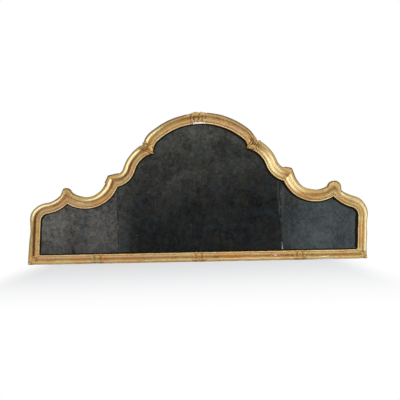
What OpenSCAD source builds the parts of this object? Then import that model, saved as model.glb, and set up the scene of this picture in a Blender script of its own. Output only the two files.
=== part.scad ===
// Overmantel mirror: carved giltwood frame with a serpentine top and three old mirror plates.
// Millimetres, +Z up, front towards -Y. The origin is the middle of the bottom rail's underside.
// Values in square brackets are [left side, right side]: the frame was cut and carved by hand,
// and its two halves differ by up to 50 mm. Headings are degrees above level, walking up the
// sight line from a stile's foot to the crown.

/* [Bottom rail and stiles] */
// Height of the bottom rail, underside to sight line
bottom_w = 41; // [36:1:56]
// Distance of each sight corner from the middle
foot_x = [702, 716]; // [690:1:725]
// Width of each stile and shoulder moulding
wing_w = [47, 43]; // [42:1:54]
// Lean of each stile towards the middle
stile_lean = [3.4, -2.6]; // [-4:0.1:5]
// Height at which each stile starts to bend
stile_top = [193, 190]; // [180:1:205]

/* [Shoulders] */
// Heading at the flattest place of each shoulder
shoulder_flat = [7, 16]; // [5:1:22]
// Heading of each shoulder at its peak
shoulder_end = [44, 46]; // [36:1:48]
// Distance of each peak's cusp from the middle
peak_x = [573, 613]; // [560:1:620]
// Height of each peak's cusp
peak_z = [269, 279]; // [260:1:285]
// Reach of a peak, from the cusp to its round tip
peak_reach = 71; // [66:1:78]
// Radius of a peak's round tip
peak_r = 32; // [28:1:38]

/* [Hollows] */
// Width of the hollow mouldings
hollow_w = 53; // [48:1:58]
// Depth of each hollow below the line between its cusps
hollow_sag = [55, 52.5]; // [45:0.5:60]
// Distance of each ear's cusp from the middle
ear_x = [347.5, 394.5]; // [335:0.5:400]
// Height of each ear's cusp
ear_z = [340.5, 352.5]; // [325:0.5:360]
// Reach of an ear, from the cusp to its round tip
ear_reach = 69; // [64:1:74]
// Radius of an ear's round tip
ear_r = 25; // [20:1:28]

/* [Haunches] */
// Width of the haunch mouldings
haunch_w = 51; // [46:1:56]
// Turn of each haunch's S either way of the line between its cusps
haunch_turn = [31, 28]; // [22:0.5:33]
// Share of that line below the S's change of bend
haunch_share = [0.484, 0.482]; // [0.38:0.002:0.56]
// Distance of each clasp's cusp from the middle
clasp_x = [186, 235]; // [180:1:250]
// Height of each clasp's cusp
clasp_z = [486.5, 501]; // [480:0.5:505]

/* [Arch] */
// Width of the arch moulding
arch_w = 48.5; // [44:0.5:54]
// Heading of each half arch where it springs from its clasp
arch_start = [97, 95]; // [86:1:99]
// Heading where the tight springing arc meets the wide crown arc
arch_bend = [42, 40]; // [38:1:48]
// Distance of the crown joint to the right of the middle
crown_x = 25; // [10:1:35]
// Height of the sight line at the crown
crown_z = 614; // [600:1:625]

/* [Moulding section] */
// Depth of the frame, back to the top of the outer torus
frame_depth = 40; // [36:1:48]
// Radius of the outer torus
torus_r = 7.5; // [6:0.5:9]
// Width of the groove beside the torus
groove_w = 5; // [3:0.5:7]
// Drop from the torus top to the groove's floor
groove_drop = 11; // [9:0.5:13]
// Radius of the bead along the sight edge
bead_r = 3; // [2:0.25:4]
// Crown of the broad convex band above the line between its edges
band_crown = 5; // [3:0.5:6]
// Width of the rebate behind the sight edge
rebate_w = 12; // [10:0.5:14]
// Thickness of the lip in front of the glass at the sight edge
lip_t = 8; // [6:0.5:9]

/* [Mirror plates] */
// Thickness of the glass
glass_t = 4; // [3:0.5:5]
// Play between a plate's edge and the rebate
glass_play = 2; // [1.5:0.25:3]
// Distance of each joint between plates from the middle
seam_x = [350, 380]; // [330:1:395]
// Gap between neighbouring plates
seam_gap = 0.8; // [0.5:0.1:1.5]
// Width of the strip behind each joint
seam_strip_w = 44; // [30:1:60]

/* [Back] */
// Thickness of the backboards
board_t = 6; // [5:0.5:8]
// Lap of the backboards on the frame's back
board_lap = 12; // [10:0.5:14]
// Gap between neighbouring boards
board_gap = 1; // [0.5:0.1:2]
// Radius of a nail's shank
nail_r = 1.1; // [0.8:0.1:1.5]
// Depth that a nail is driven into the frame
nail_grip = 12; // [8:1:15]
// Height of the hanging batten
batten_h = 48; // [42:1:60]
// Thickness of the hanging batten behind the boards
batten_t = 12; // [10:0.5:16]
// Height of the batten's lower edge
batten_z = 358; // [352:1:364]
// Distance of the joints beside the middle boards
inner_joint_x = [200, 228]; // [195:1:235]
// Distance of the joints beside the wing boards
outer_joint_x = [465, 498]; // [460:1:505]
// Length of a glazing block
block_l = 34; // [24:1:44]

/* [Hangers] */
// Distance of each hanger from the middle
hanger_x = 235; // [180:1:255]
// Width of a hanger's strap
strap_w = 16; // [14:0.5:20]
// Length of a hanger's strap below its knuckle
strap_l = 32; // [30:1:35]
// Thickness of the strap iron
strap_t = 1.6; // [1.2:0.1:2]
// Radius of the ring's wire
ring_wire_r = 1.8; // [1.5:0.1:2.2]
// Radius of the ring's bow, to the middle of its wire
ring_bow_r = 14; // [12:0.5:16]

/* [Carving] */
// Length of the crest leaf along the arch
crest_l = 58; // [48:1:66]
// Distance of the crest leaf to the left of the crown joint
crest_shift = 11; // [6:1:18]
// Length of an arch clasp along the moulding
clasp_l = 46; // [36:1:54]
// Length of a bottom rail leaf
rail_leaf_l = 54; // [44:1:64]
// Distance of the outer bottom rail leaves from the middle one
rail_leaf_pitch = 451; // [420:1:470]
// Place of the middle bottom rail leaf
rail_leaf_x = 8; // [-10:1:20]
// Rise of the carving above the torus
carving_rise = 3; // [1:0.5:5]

/* [Hidden] */
$fn = 120;
left = 0;
right = 1;
// Fits: driven nails and keys, cut edges beside curved walls, and the ring in its knuckle
drive_fit = 0.05;
edge_fit = 0.5;
ring_fit = 0.08;
// Reach of the cutting planes, and overrun of a moulding past its mitre: a hollow's stops
// under the peak's round tip
reach = 420;
overrun = 35;
peak_overrun = 22;
// Angle between the points of a sampled arc
arc_step = 4;
// Depths from the frame's back: the groove's floor, the seats of the carving, which are cut a
// little deeper, the lip's rear face, and the glass's rear face
seat_d = frame_depth - groove_drop;
carve_drop = 1.5;
carve_d = seat_d - carve_drop;
glass_d = seat_d - lip_t;
strip_t = glass_d - glass_t;
board_edge = rebate_w + board_lap;
nail_line = rebate_w + board_lap / 2;
// The bead's centre lies under the floor of the groove by this share of its radius
bead_sink = 0.3;
// A second bend in one piece starts this far inside the first, and is this much thinner
scarf_l = 1.5;
scarf_step = 0.1;
tip_drop = 0.4;
// A round tip runs this far round, either side of its mitre
tip_turn = 110;
// Keys across the joints, let into the back
key_l = 34;
key_w = 12;
key_t = 4;
// Nails: shares of a bent moulding's last arc, inset from a board's edge, and the head
nail_places = [0.2, 0.6];
nail_inset = 30;
nail_head_r = 3.2;
nail_head_t = 0.8;
// The batten stops short of the haunch's outer edge, and its screws follow the haunch
batten_short = 8;
batten_edge = haunch_w - batten_short;
batten_screw_turns = [4, 18];
batten_screw_r = 2.2;
batten_screw_l = 32;
// Blocks behind the glass
block_foot = 9;
block_rise = 11;
block_play = 1.2;
bottom_block_x = [-560, -220, -80, 80, 230, 560];
// Carving: a seat runs past both edges of its moulding, a base is inset from them, and a leaf
// rises over its seat. The outer leaves of a fan are shorter and lower, step by step.
seat_over = 12;
base_t = 3;
base_inset = 0.5;
leaf_h = frame_depth + carving_rise - carve_d;
leaf_root = 1;
leaf_crown = 0.35;
leaf_shorter = 0.07;
leaf_lower = 0.14;
corner_leaf_w = 26;
// Where each fan of leaves starts, and its leaves' length, as shares of its moulding's width, and
// the leaves' width as a share of the carving's length
crest_root = 0.12;
crest_leaf_l = 0.98;
crest_leaf_w = 0.34;
clasp_root = 0.16;
clasp_leaf_l = 0.95;
clasp_leaf_w = 0.36;
// The rail's leaves: length as a share of the carving's, width as a share of the rail's, and
// height as a share of the other leaves'
half_leaf_l = 0.48;
half_leaf_w = 0.3;
low_leaf = 0.8;
// The corner's leaves: where each starts along its mitre, and its width, as shares
corner_root = 0.2;
corner_leaf_share = 0.9;
// Hangers: the strap lies on the batten, and the ring swings clear of the strap
knuckle_lift = 0.4;
knuckle_r = ring_wire_r + ring_fit + strap_t;
strap_z = -board_t - batten_t;
knuckle_depth = strap_z - knuckle_lift - knuckle_r;
knuckle_drop = 6;
knuckle_z = batten_z + batten_h - knuckle_drop;
strap_screw_drops = [12, 25];
strap_screw_r = 1.5;
strap_screw_l = 11;

gilt = [0.79, 0.60, 0.27];
pine = [0.60, 0.46, 0.30];
silvered = [0.16, 0.18, 0.18];
iron = [0.24, 0.22, 0.21];

// ---- The sight line: arcs are [centre, signed radius, first heading, last heading] ----
// Both halves are drawn as a left half. The right half is mirrored afterwards.
function peak(s) = [-peak_x[s], peak_z[s]];
function ear(s) = [-ear_x[s], ear_z[s]];
function clasp(s) = [-clasp_x[s], clasp_z[s]];
function crown(s) = [s == left ? crown_x : -crown_x, crown_z];
function foot(s) = [-foot_x[s], bottom_w];
function stile_head(s) = foot(s) + (stile_top[s] - bottom_w) * [tan(stile_lean[s]), 1];
function stile_heading(s) = 90 - stile_lean[s];
function step_of(a, b) = [sin(b) - sin(a), cos(a) - cos(b)];
function cross2(u, v) = u[0] * v[1] - u[1] * v[0];
function along(h) = [cos(h), sin(h)];
function arc_from(start, r, a, b) = [start + r * [-sin(a), cos(a)], r, a, b];
function on_arc(arc, off, h) = arc[0] + (arc[1] - off) * [sin(h), -cos(h)];
function arc_end(arc) = on_arc(arc, 0, arc[3]);
// Two arcs that join smoothly, from one point and heading to another, through heading m
function double_arc(start, end, a, m, b) =
    let (u = step_of(a, m), v = step_of(m, b), d = end - start, det = cross2(u, v))
    let (first = arc_from(start, cross2(d, v) / det, a, m))
    [first, arc_from(arc_end(first), cross2(u, d) / det, m, b)];
// An S of two arcs that meet on the line between its ends
function s_curve(start, end, turn, share) =
    let (d = end - start, h = atan2(d[1], d[0]), r = norm(d) / 2 / sin(turn))
    let (first = arc_from(start, share * r, h - turn, h + turn))
    [first, arc_from(arc_end(first), (share - 1) * r, h + turn, h - turn)];
function single_arc(start, end, sag) =
    let (d = end - start, turn = 2 * atan(2 * sag / norm(d)), h = atan2(d[1], d[0]))
    [arc_from(start, norm(d) / 2 / sin(turn), h - turn, h + turn)];
function shoulder_arcs(s) = double_arc(stile_head(s), peak(s), stile_heading(s),
    shoulder_flat[s], shoulder_end[s]);
function hollow_arcs(s) = single_arc(peak(s), ear(s), hollow_sag[s]);
function haunch_arcs(s) = s_curve(ear(s), clasp(s), haunch_turn[s], haunch_share[s]);
function arch_arcs(s) = double_arc(clasp(s), crown(s), arch_start[s], arch_bend[s], 0);
function last(list) = list[len(list) - 1];
// Directions of the mitre lines, from each cusp outwards
function mitre_of(before, after) = (last(before)[3] + after[0][2]) / 2 + 90;
function peak_mitre(s) = mitre_of(shoulder_arcs(s), hollow_arcs(s));
function ear_mitre(s) = mitre_of(hollow_arcs(s), haunch_arcs(s));
function clasp_mitre(s) = mitre_of(haunch_arcs(s), arch_arcs(s));
function stile_left_normal(s) = along(stile_heading(s) + 90);
// The outer corner where a line at distance off from the stile meets the same off the bottom
function foot_corner(s, off, drop) =
    let (p = foot(s) + off * stile_left_normal(s), run = p[1] - (bottom_w - drop))
    p - [run * tan(stile_lean[s]), run];
function foot_mitre(s) =
    let (d = foot_corner(s, wing_w[s], bottom_w) - foot(s)) atan2(d[1], d[0]);

// ---- Outlines at a given distance outside the sight line, for plates and boards ----
function mitre_heading(arc, off, cusp, mitre) =
    mitre - acos(-cross2(arc[0] - cusp, along(mitre)) / (arc[1] - off));
function arc_points(arc, off, a, b) =
    let (n = max(2, ceil(abs(b - a) / arc_step)))
    [for (i = [0 : n]) on_arc(arc, off, a + (b - a) * i / n)];
function chain_points(arcs, off, a, b) =
    len(arcs) == 1 ? arc_points(arcs[0], off, a, b)
    : concat(arc_points(arcs[0], off, a, arcs[0][3]), arc_points(arcs[1], off,
        arcs[1][2] + (b - arcs[1][2]) / 8, b));
function cusp_ends(before, after, off, cusp) =
    let (m = mitre_of(before, after))
    [mitre_heading(last(before), off, cusp, m), mitre_heading(after[0], off, cusp, m)];
function side_points(s, off) =
    let (a = shoulder_arcs(s), b = hollow_arcs(s), c = haunch_arcs(s), d = arch_arcs(s))
    let (p = cusp_ends(a, b, off, peak(s)), e = cusp_ends(b, c, off, ear(s)))
    let (q = cusp_ends(c, d, off, clasp(s)))
    concat([foot_corner(s, off, off)],
        chain_points(a, off, stile_heading(s), p[0]), chain_points(b, off, p[1], e[0]),
        chain_points(c, off, e[1], q[0]), chain_points(d, off, q[1], 0));
function outline(off) =
    let (l = side_points(left, off), r = side_points(right, off))
    concat(l, [for (i = [len(r) - 2 : -1 : 0]) [-r[i][0], r[i][1]]]);

// ---- Placing: drawings lie flat, x across, y up, z forward from the frame's back ----
module upright() {
    translate([0, frame_depth / 2, 0]) rotate([90, 0, 0]) children();
}
module half(s) {
    upright() mirror([s == right ? 1 : 0, 0, 0]) children();
}
module slab(off, from, t) {
    translate([0, 0, from]) linear_extrude(t) polygon(outline(off));
}
module between(x0, x1, from, t) {
    translate([x0, 0, from]) cube([x1 - x0, crown_z + reach, t]);
}
// Half space before or after a mitre line, as a cutter
module beyond(p, mitre, after) {
    translate([p[0], p[1], -1]) rotate(mitre)
        translate([-reach / 2, after ? -reach : 0, 0]) cube([reach, reach, frame_depth + 2]);
}

// ---- The moulding's section: x from the sight edge outwards, y forward from the back ----
// thin is how much the section draws in all round, where one bend is scarfed into another
module section(w, thin) {
    torus_d = frame_depth - torus_r;
    bead_d = seat_d - bead_sink * bead_r;
    torus_in = w - 2 * torus_r;
    band_in = 2 * bead_r;
    band_l = torus_in - groove_w - band_in;
    band_r = (band_crown * band_crown + band_l * band_l / 4) / (2 * band_crown);
    polygon([[rebate_w + thin, thin], [w - 1 - thin, thin], [w - thin, 1 + thin],
        [w - thin, torus_d], [torus_in + thin, torus_d], [torus_in + thin, seat_d - thin],
        [bead_r, seat_d - thin], [thin, bead_d], [thin, glass_d + thin],
        [rebate_w + thin, glass_d + thin]]);
    translate([w - torus_r, torus_d]) circle(torus_r - thin);
    translate([bead_r, bead_d]) circle(bead_r - thin);
    intersection() {
        translate([band_in + band_l / 2, seat_d + band_crown - band_r]) circle(band_r - thin);
        translate([band_in, seat_d - 1]) square([band_l, band_crown + 2]);
    }
}
// A moulding bent along one arc, overrunning its ends by the given angles
module bent(arc, w, before, after, thin = 0) {
    sweep = abs(arc[3] - arc[2]) + before + after;
    low = arc[1] > 0 ? arc[2] - before - 90 : arc[3] - after + 90;
    translate([arc[0][0], arc[0][1], 0]) rotate(low) rotate_extrude(angle = sweep)
        translate([abs(arc[1]), 0]) mirror([arc[1] > 0 ? 1 : 0, 0]) section(w, thin);
}
// Two bends in one piece: the second starts inside the first
module double_bent(arcs, w, before, after) {
    bent(arcs[0], w, before, 0);
    bent(arcs[1], w, scarf_l / abs(arcs[1][1]) * 180 / PI, after, scarf_step);
}
module straight(start, heading, l, w) {
    translate([start[0], start[1], 0]) rotate(heading) rotate([90, 0, 90])
        linear_extrude(l) section(w, 0);
}
// Round return of the torus about a mitre's tip, a shade lower than the moulding
module round_tip(cusp, mitre, tip_reach, r) {
    c = cusp + (tip_reach - r) * along(mitre);
    torus_d = frame_depth - tip_drop - torus_r;
    torus_in = r - 2 * torus_r;
    translate([c[0], c[1], 0]) rotate(mitre - tip_turn) rotate_extrude(angle = 2 * tip_turn) {
        polygon([[0, tip_drop], [r, tip_drop], [r, torus_d], [torus_in, torus_d],
            [torus_in, seat_d - tip_drop], [0, seat_d - tip_drop]]);
        translate([r - torus_r, torus_d]) circle(torus_r);
    }
}

// ---- Joints: keys let into the back across each joint, and seats for the carving ----
// Joint places are [point on the sight line, direction outwards, width of the moulding]
function side_joints(s) = [
    [foot(s), foot_mitre(s), wing_w[s]],
    [stile_head(s), stile_heading(s) + 90, wing_w[s]],
    [peak(s), peak_mitre(s), hollow_w],
    [ear(s), ear_mitre(s), hollow_w],
    [clasp(s), clasp_mitre(s), arch_w]];
function crown_joint() = [crown(left), 90, arch_w];
module key_at(joint, play) {
    w = board_edge + (joint[2] - board_edge) / 2;
    translate([joint[0][0], joint[0][1], -play]) rotate(joint[1]) translate([w, 0, 0])
        linear_extrude(key_t + 2 * play)
            square([key_w + 2 * play, key_l + 2 * play], center = true);
}
// Block of space over a carving's place: l along the moulding, w outwards from the sight line
module footprint(p, direction, l, w, from, t) {
    translate([p[0], p[1], from]) rotate(direction) translate([-seat_over, -l / 2, 0])
        cube([w + 2 * seat_over, l, t]);
}
module seat_cut(p, direction, l, w) {
    footprint(p, direction, l + edge_fit, w, carve_d, frame_depth);
}
module side_cuts(s) {
    for (joint = side_joints(s)) key_at(joint, drive_fit);
    seat_cut(clasp(s), clasp_mitre(s), clasp_l, arch_w);
    seat_cut(foot(s), foot_mitre(s), corner_leaf_w, wing_w[s]);
}
module crown_cuts() {
    key_at(crown_joint(), drive_fit);
    seat_cut([crown_x - crest_shift, crown_z], 90, crest_l, arch_w);
}

// ---- Nails and screws ----
function arc_spot(arc, off, f) = on_arc(arc, off, arc[2] + (arc[3] - arc[2]) * f);
function rail_nails(arcs) = [for (f = nail_places) arc_spot(last(arcs), nail_line, f)];
function stile_nails(s) = [foot(s) + nail_line * stile_left_normal(s)
    + (stile_top[s] - bottom_w) / 2 * along(stile_heading(s))];
function side_nails(s) = concat(stile_nails(s), rail_nails(shoulder_arcs(s)),
    rail_nails(hollow_arcs(s)), rail_nails(haunch_arcs(s)), rail_nails(arch_arcs(s)));
// Edges of the boards from left to right
function board_edges() = [-foot_x[left] - reach, -outer_joint_x[left], -inner_joint_x[left],
    crown_x, inner_joint_x[right], outer_joint_x[right], foot_x[right] + reach];
function bottom_nails() = [for (i = [0 : 5]) for (x = [
    max(board_edges()[i], -foot_x[left]) + nail_inset,
    min(board_edges()[i + 1], foot_x[right]) - nail_inset]) [x, bottom_w - nail_line]];
module nail_holes(spots) {
    for (p = spots) translate([p[0], p[1], -board_t - 1])
        cylinder(r = nail_r + drive_fit, h = board_t + 1 + nail_grip);
}
module nails(spots) {
    for (p = spots) translate([p[0], p[1], -board_t]) {
        cylinder(r = nail_r, h = board_t + nail_grip);
        translate([0, 0, -nail_head_t]) cylinder(r = nail_head_r, h = nail_head_t);
    }
}
// A countersunk screw or its hole, from a head flush at depth z, running forward
module screw(p, z, r, l, play) {
    translate([p[0], p[1], z]) {
        cylinder(r = r + play, h = l);
        cylinder(r1 = 2 * r + play, r2 = r + play, h = r);
    }
}
function batten_spots(s) = [for (turn = batten_screw_turns)
    on_arc(haunch_arcs(s)[0], (board_edge + batten_edge) / 2, haunch_arcs(s)[0][2] + turn)];
module batten_screw(p, play) {
    screw(p, -board_t - batten_t, batten_screw_r, batten_screw_l, play);
}
function strap_spots() = [for (drop = strap_screw_drops) [0, knuckle_z - drop]];
module strap_screw(p, play) {
    screw(p, strap_z - strap_t, strap_screw_r, strap_screw_l, play);
}

// ---- The frame ----
module bottom_rail() {
    color(gilt) difference() {
        upright() straight([foot_x[right] + reach / 4, bottom_w], 180,
            foot_x[left] + foot_x[right] + reach / 2, bottom_w);
        for (s = [left, right]) half(s) {
            beyond(foot(s), foot_mitre(s), true);
            key_at(side_joints(s)[0], drive_fit);
            seat_cut(foot(s), foot_mitre(s), corner_leaf_w, wing_w[s]);
        }
        upright() nail_holes(bottom_nails());
        upright() for (i = [-1 : 1])
            seat_cut([rail_leaf_x + i * rail_leaf_pitch, bottom_w], -90, rail_leaf_l, bottom_w);
    }
}
module stile(s) {
    run_in = 2 * bottom_w;
    color(gilt) half(s) difference() {
        straight(foot(s) - run_in * along(stile_heading(s)), stile_heading(s),
            run_in + norm(stile_head(s) - foot(s)), wing_w[s]);
        beyond(foot(s), foot_mitre(s), false);
        side_cuts(s);
        nail_holes(stile_nails(s));
    }
}
module shoulder(s) {
    arcs = shoulder_arcs(s);
    color(gilt) half(s) difference() {
        union() {
            double_bent(arcs, wing_w[s], 0, overrun);
            round_tip(peak(s), peak_mitre(s), peak_reach, peak_r);
        }
        beyond(peak(s), peak_mitre(s), true);
        side_cuts(s);
        nail_holes(rail_nails(arcs));
    }
}
module hollow(s) {
    arcs = hollow_arcs(s);
    color(gilt) half(s) difference() {
        union() {
            bent(arcs[0], hollow_w, peak_overrun, overrun);
            round_tip(peak(s), peak_mitre(s), peak_reach, peak_r);
            round_tip(ear(s), ear_mitre(s), ear_reach, ear_r);
        }
        beyond(peak(s), peak_mitre(s), false);
        beyond(ear(s), ear_mitre(s), true);
        side_cuts(s);
        nail_holes(rail_nails(arcs));
    }
}
module haunch(s) {
    arcs = haunch_arcs(s);
    color(gilt) half(s) difference() {
        union() {
            double_bent(arcs, haunch_w, overrun, overrun);
            round_tip(ear(s), ear_mitre(s), ear_reach, ear_r);
        }
        beyond(ear(s), ear_mitre(s), false);
        beyond(clasp(s), clasp_mitre(s), true);
        side_cuts(s);
        nail_holes(rail_nails(arcs));
        for (p = batten_spots(s)) batten_screw(p, drive_fit);
    }
}
module arch(s) {
    arcs = arch_arcs(s);
    color(gilt) difference() {
        half(s) difference() {
            double_bent(arcs, arch_w, overrun, 0);
            beyond(clasp(s), clasp_mitre(s), false);
            side_cuts(s);
            nail_holes(rail_nails(arcs));
        }
        upright() crown_cuts();
    }
}
module mitre_keys() {
    color(pine) {
        for (s = [left, right]) half(s) for (joint = side_joints(s)) key_at(joint, 0);
        upright() key_at(crown_joint(), 0);
    }
}

// ---- The carving: each piece is a thin base on its seat with raised leaves ----
// A pointed leaf along x, crowned across its width
module leaf(l, w, h) {
    side_r = (l * l + w * w) / (4 * w);
    rise = leaf_crown * h;
    crown_r = (w * w / 4 + rise * rise) / (2 * rise);
    intersection() {
        translate([l / 2, 0, leaf_root]) linear_extrude(h) intersection() {
            translate([0, w / 2 - side_r]) circle(side_r);
            translate([0, side_r - w / 2]) circle(side_r);
        }
        translate([l / 2, 0, h - crown_r]) rotate([0, 90, 0])
            cylinder(r = crown_r, h = 2 * l, center = true);
    }
}
// Leaves spread either side of x, each pair lower than the one inside it
module fan(l, w, h, pairs, spread) {
    for (i = [-pairs : pairs]) rotate(i * spread)
        leaf(l * (1 - leaf_shorter * abs(i)), w, h * (1 - leaf_lower * abs(i)));
    translate([0, 0, leaf_root]) cylinder(r = 0.3 * w, h = 0.8 * h);
}
// The base follows both edges of the moulding, between ends square to the direction outwards
module carving_base(s, p, direction, l, w) {
    intersection() {
        upright() difference() {
            slab(w - base_inset, carve_d, base_t);
            slab(base_inset, carve_d - 1, base_t + 2);
        }
        half(s) footprint(p, direction, l, w, carve_d - 1, base_t + 2);
    }
}
module crest_leaf() {
    p = [crown_x - crest_shift, crown_z];
    color(gilt) {
        carving_base(left, p, 90, crest_l, arch_w);
        upright() intersection() {
            translate([p[0], p[1] + crest_root * arch_w, carve_d]) rotate(90)
                fan(crest_leaf_l * arch_w, crest_leaf_w * crest_l, leaf_h, 2, 27);
            footprint(p, 90, crest_l, arch_w, carve_d, 2 * leaf_h);
        }
    }
}
module clasp_leaf(s) {
    color(gilt) {
        carving_base(s, clasp(s), clasp_mitre(s), clasp_l, arch_w);
        half(s) intersection() {
            translate([clasp(s)[0], clasp(s)[1], carve_d]) rotate(clasp_mitre(s))
                translate([clasp_root * arch_w, 0, 0])
                    fan(clasp_leaf_l * arch_w, clasp_leaf_w * clasp_l, leaf_h, 1, 30);
            footprint(clasp(s), clasp_mitre(s), clasp_l, arch_w, carve_d, 2 * leaf_h);
        }
    }
}
module rail_leaves() {
    color(gilt) upright() for (i = [-1 : 1])
        translate([rail_leaf_x + i * rail_leaf_pitch, bottom_w / 2, carve_d]) {
            translate([-rail_leaf_l / 2, base_inset - bottom_w / 2, 0])
                cube([rail_leaf_l, bottom_w - 2 * base_inset, base_t]);
            for (turn = [0, 180]) rotate(turn) fan(half_leaf_l * rail_leaf_l,
                half_leaf_w * bottom_w, low_leaf * leaf_h, 1, 40);
        }
}
module corner_leaves() {
    color(gilt) for (s = [left, right]) half(s)
        translate([foot(s)[0], foot(s)[1], carve_d - leaf_root]) rotate(foot_mitre(s))
            translate([corner_root * wing_w[s], 0, 0])
                leaf(wing_w[s], corner_leaf_share * corner_leaf_w, low_leaf * leaf_h);
}

// ---- The plates and what holds them ----
module plate(x0, x1) {
    color(silvered) upright() intersection() {
        slab(rebate_w - glass_play, strip_t, glass_t);
        between(x0, x1, strip_t, glass_t);
    }
}
module left_plate() {
    plate(-foot_x[left] - reach, -seam_x[left] - seam_gap / 2);
}
module centre_plate() {
    plate(-seam_x[left] + seam_gap / 2, seam_x[right] - seam_gap / 2);
}
module right_plate() {
    plate(seam_x[right] + seam_gap / 2, foot_x[right] + reach);
}
module seam_strip(x) {
    color(pine) upright() intersection() {
        slab(rebate_w - edge_fit, 0, strip_t);
        between(x - seam_strip_w / 2, x + seam_strip_w / 2, 0, strip_t);
    }
}
// A wedge glued behind the glass against the rebate's wall
module glazing_block(p, heading) {
    translate([p[0], p[1], 0]) rotate(heading) rotate([90, 0, 90])
        translate([0, 0, -block_l / 2]) linear_extrude(block_l)
            polygon([[0, strip_t], [-block_foot, strip_t], [0, strip_t - block_rise]]);
}
module arc_block(arc, f) {
    glazing_block(arc_spot(arc, rebate_w - block_play, f), arc[2] + (arc[3] - arc[2]) * f);
}
module glazing_blocks() {
    color(pine) {
        for (s = [left, right]) half(s) {
            glazing_block(foot(s) + (rebate_w - block_play) * stile_left_normal(s)
                + (stile_top[s] - bottom_w) / 2 * along(stile_heading(s)), stile_heading(s));
            arc_block(last(shoulder_arcs(s)), 0.5);
            arc_block(last(hollow_arcs(s)), 0.4);
            arc_block(last(haunch_arcs(s)), 0.5);
            arc_block(last(arch_arcs(s)), 0.2);
            arc_block(last(arch_arcs(s)), 0.7);
        }
        upright() for (x = bottom_block_x)
            glazing_block([x, bottom_w - rebate_w + block_play], 180);
    }
}

// ---- The back ----
module board(i) {
    color(pine) upright() difference() {
        intersection() {
            slab(board_edge, -board_t, board_t);
            between(board_edges()[i] + board_gap / 2, board_edges()[i + 1] - board_gap / 2,
                -board_t, board_t);
        }
        nail_holes(bottom_nails());
        for (s = [left, right]) mirror([s == right ? 1 : 0, 0, 0]) nail_holes(side_nails(s));
    }
}
module board_nails() {
    color(iron) {
        upright() nails(bottom_nails());
        for (s = [left, right]) half(s) nails(side_nails(s));
    }
}
module hanging_batten() {
    full_t = board_t + batten_t;
    color(pine) difference() {
        upright() intersection() {
            slab(batten_edge, -full_t, full_t);
            translate([-reach, batten_z, -full_t]) cube([2 * reach, batten_h, full_t]);
        }
        upright() slab(board_edge + edge_fit, -board_t, board_t + 1);
        for (s = [left, right]) half(s) {
            for (p = batten_spots(s)) batten_screw(p, drive_fit);
            translate([-hanger_x, 0, 0]) for (p = strap_spots()) strap_screw(p, drive_fit);
        }
    }
}
module batten_screws() {
    color(iron) for (s = [left, right]) half(s) for (p = batten_spots(s)) batten_screw(p, 0);
}

// ---- The hangers: a strap folded round the straight bar of a loose ring ----
module at_hanger(s) {
    upright() translate([s == left ? -hanger_x : hanger_x, 0, 0]) children();
}
module strap(s) {
    color(iron) at_hanger(s) difference() {
        union() {
            translate([-strap_w / 2, knuckle_z - strap_l, strap_z - strap_t])
                cube([strap_w, strap_l, strap_t]);
            translate([0, knuckle_z, knuckle_depth]) rotate([0, 90, 0])
                cylinder(r = knuckle_r, h = strap_w, center = true);
        }
        translate([0, knuckle_z, knuckle_depth]) rotate([0, 90, 0])
            cylinder(r = ring_wire_r + ring_fit, h = strap_w + 2, center = true);
        for (p = strap_spots()) strap_screw(p, drive_fit);
    }
}
module strap_screws() {
    color(iron) for (s = [left, right]) at_hanger(s)
        for (p = strap_spots()) strap_screw(p, 0);
}
module ring(s) {
    color(iron) at_hanger(s) translate([0, knuckle_z, knuckle_depth]) {
        rotate([0, 90, 0]) cylinder(r = ring_wire_r, h = 2 * ring_bow_r, center = true);
        rotate(180) rotate_extrude(angle = 180) translate([ring_bow_r, 0]) circle(ring_wire_r);
        for (x = [-ring_bow_r, ring_bow_r]) translate([x, 0, 0]) sphere(ring_wire_r);
    }
}

bottom_rail();
stile(left);  // left_stile
stile(right);  // right_stile
shoulder(left);  // left_shoulder
shoulder(right);  // right_shoulder
hollow(left);  // left_hollow
hollow(right);  // right_hollow
haunch(left);  // left_haunch
haunch(right);  // right_haunch
arch(left);  // left_arch
arch(right);  // right_arch
crest_leaf();
clasp_leaf(left);  // left_clasp
clasp_leaf(right);  // right_clasp
rail_leaves();
corner_leaves();
left_plate();
centre_plate();
right_plate();
seam_strip(-seam_x[left]);  // left_seam_strip
seam_strip(seam_x[right]);  // right_seam_strip
glazing_blocks();
mitre_keys();
board(0);  // left_wing_board
board(1);  // left_inner_board
board(2);  // left_centre_board
board(3);  // right_centre_board
board(4);  // right_inner_board
board(5);  // right_wing_board
board_nails();
hanging_batten();
batten_screws();
strap(left);  // left_strap
strap(right);  // right_strap
strap_screws();
ring(left);  // left_ring
ring(right);  // right_ring
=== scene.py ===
"""An old overmantel mirror: carved and gilded mouldings, three foxed plates and a boarded back.

Places on the front are complex numbers in millimetres: the real part runs to the right and the
imaginary part up. Depths run forward from the frame's back. A pair of values is (left, right),
and both halves are drawn as a left half, walking up the sight line from a stile's foot to the
crown. Headings are degrees above level.
"""
import cmath
import math

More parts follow.
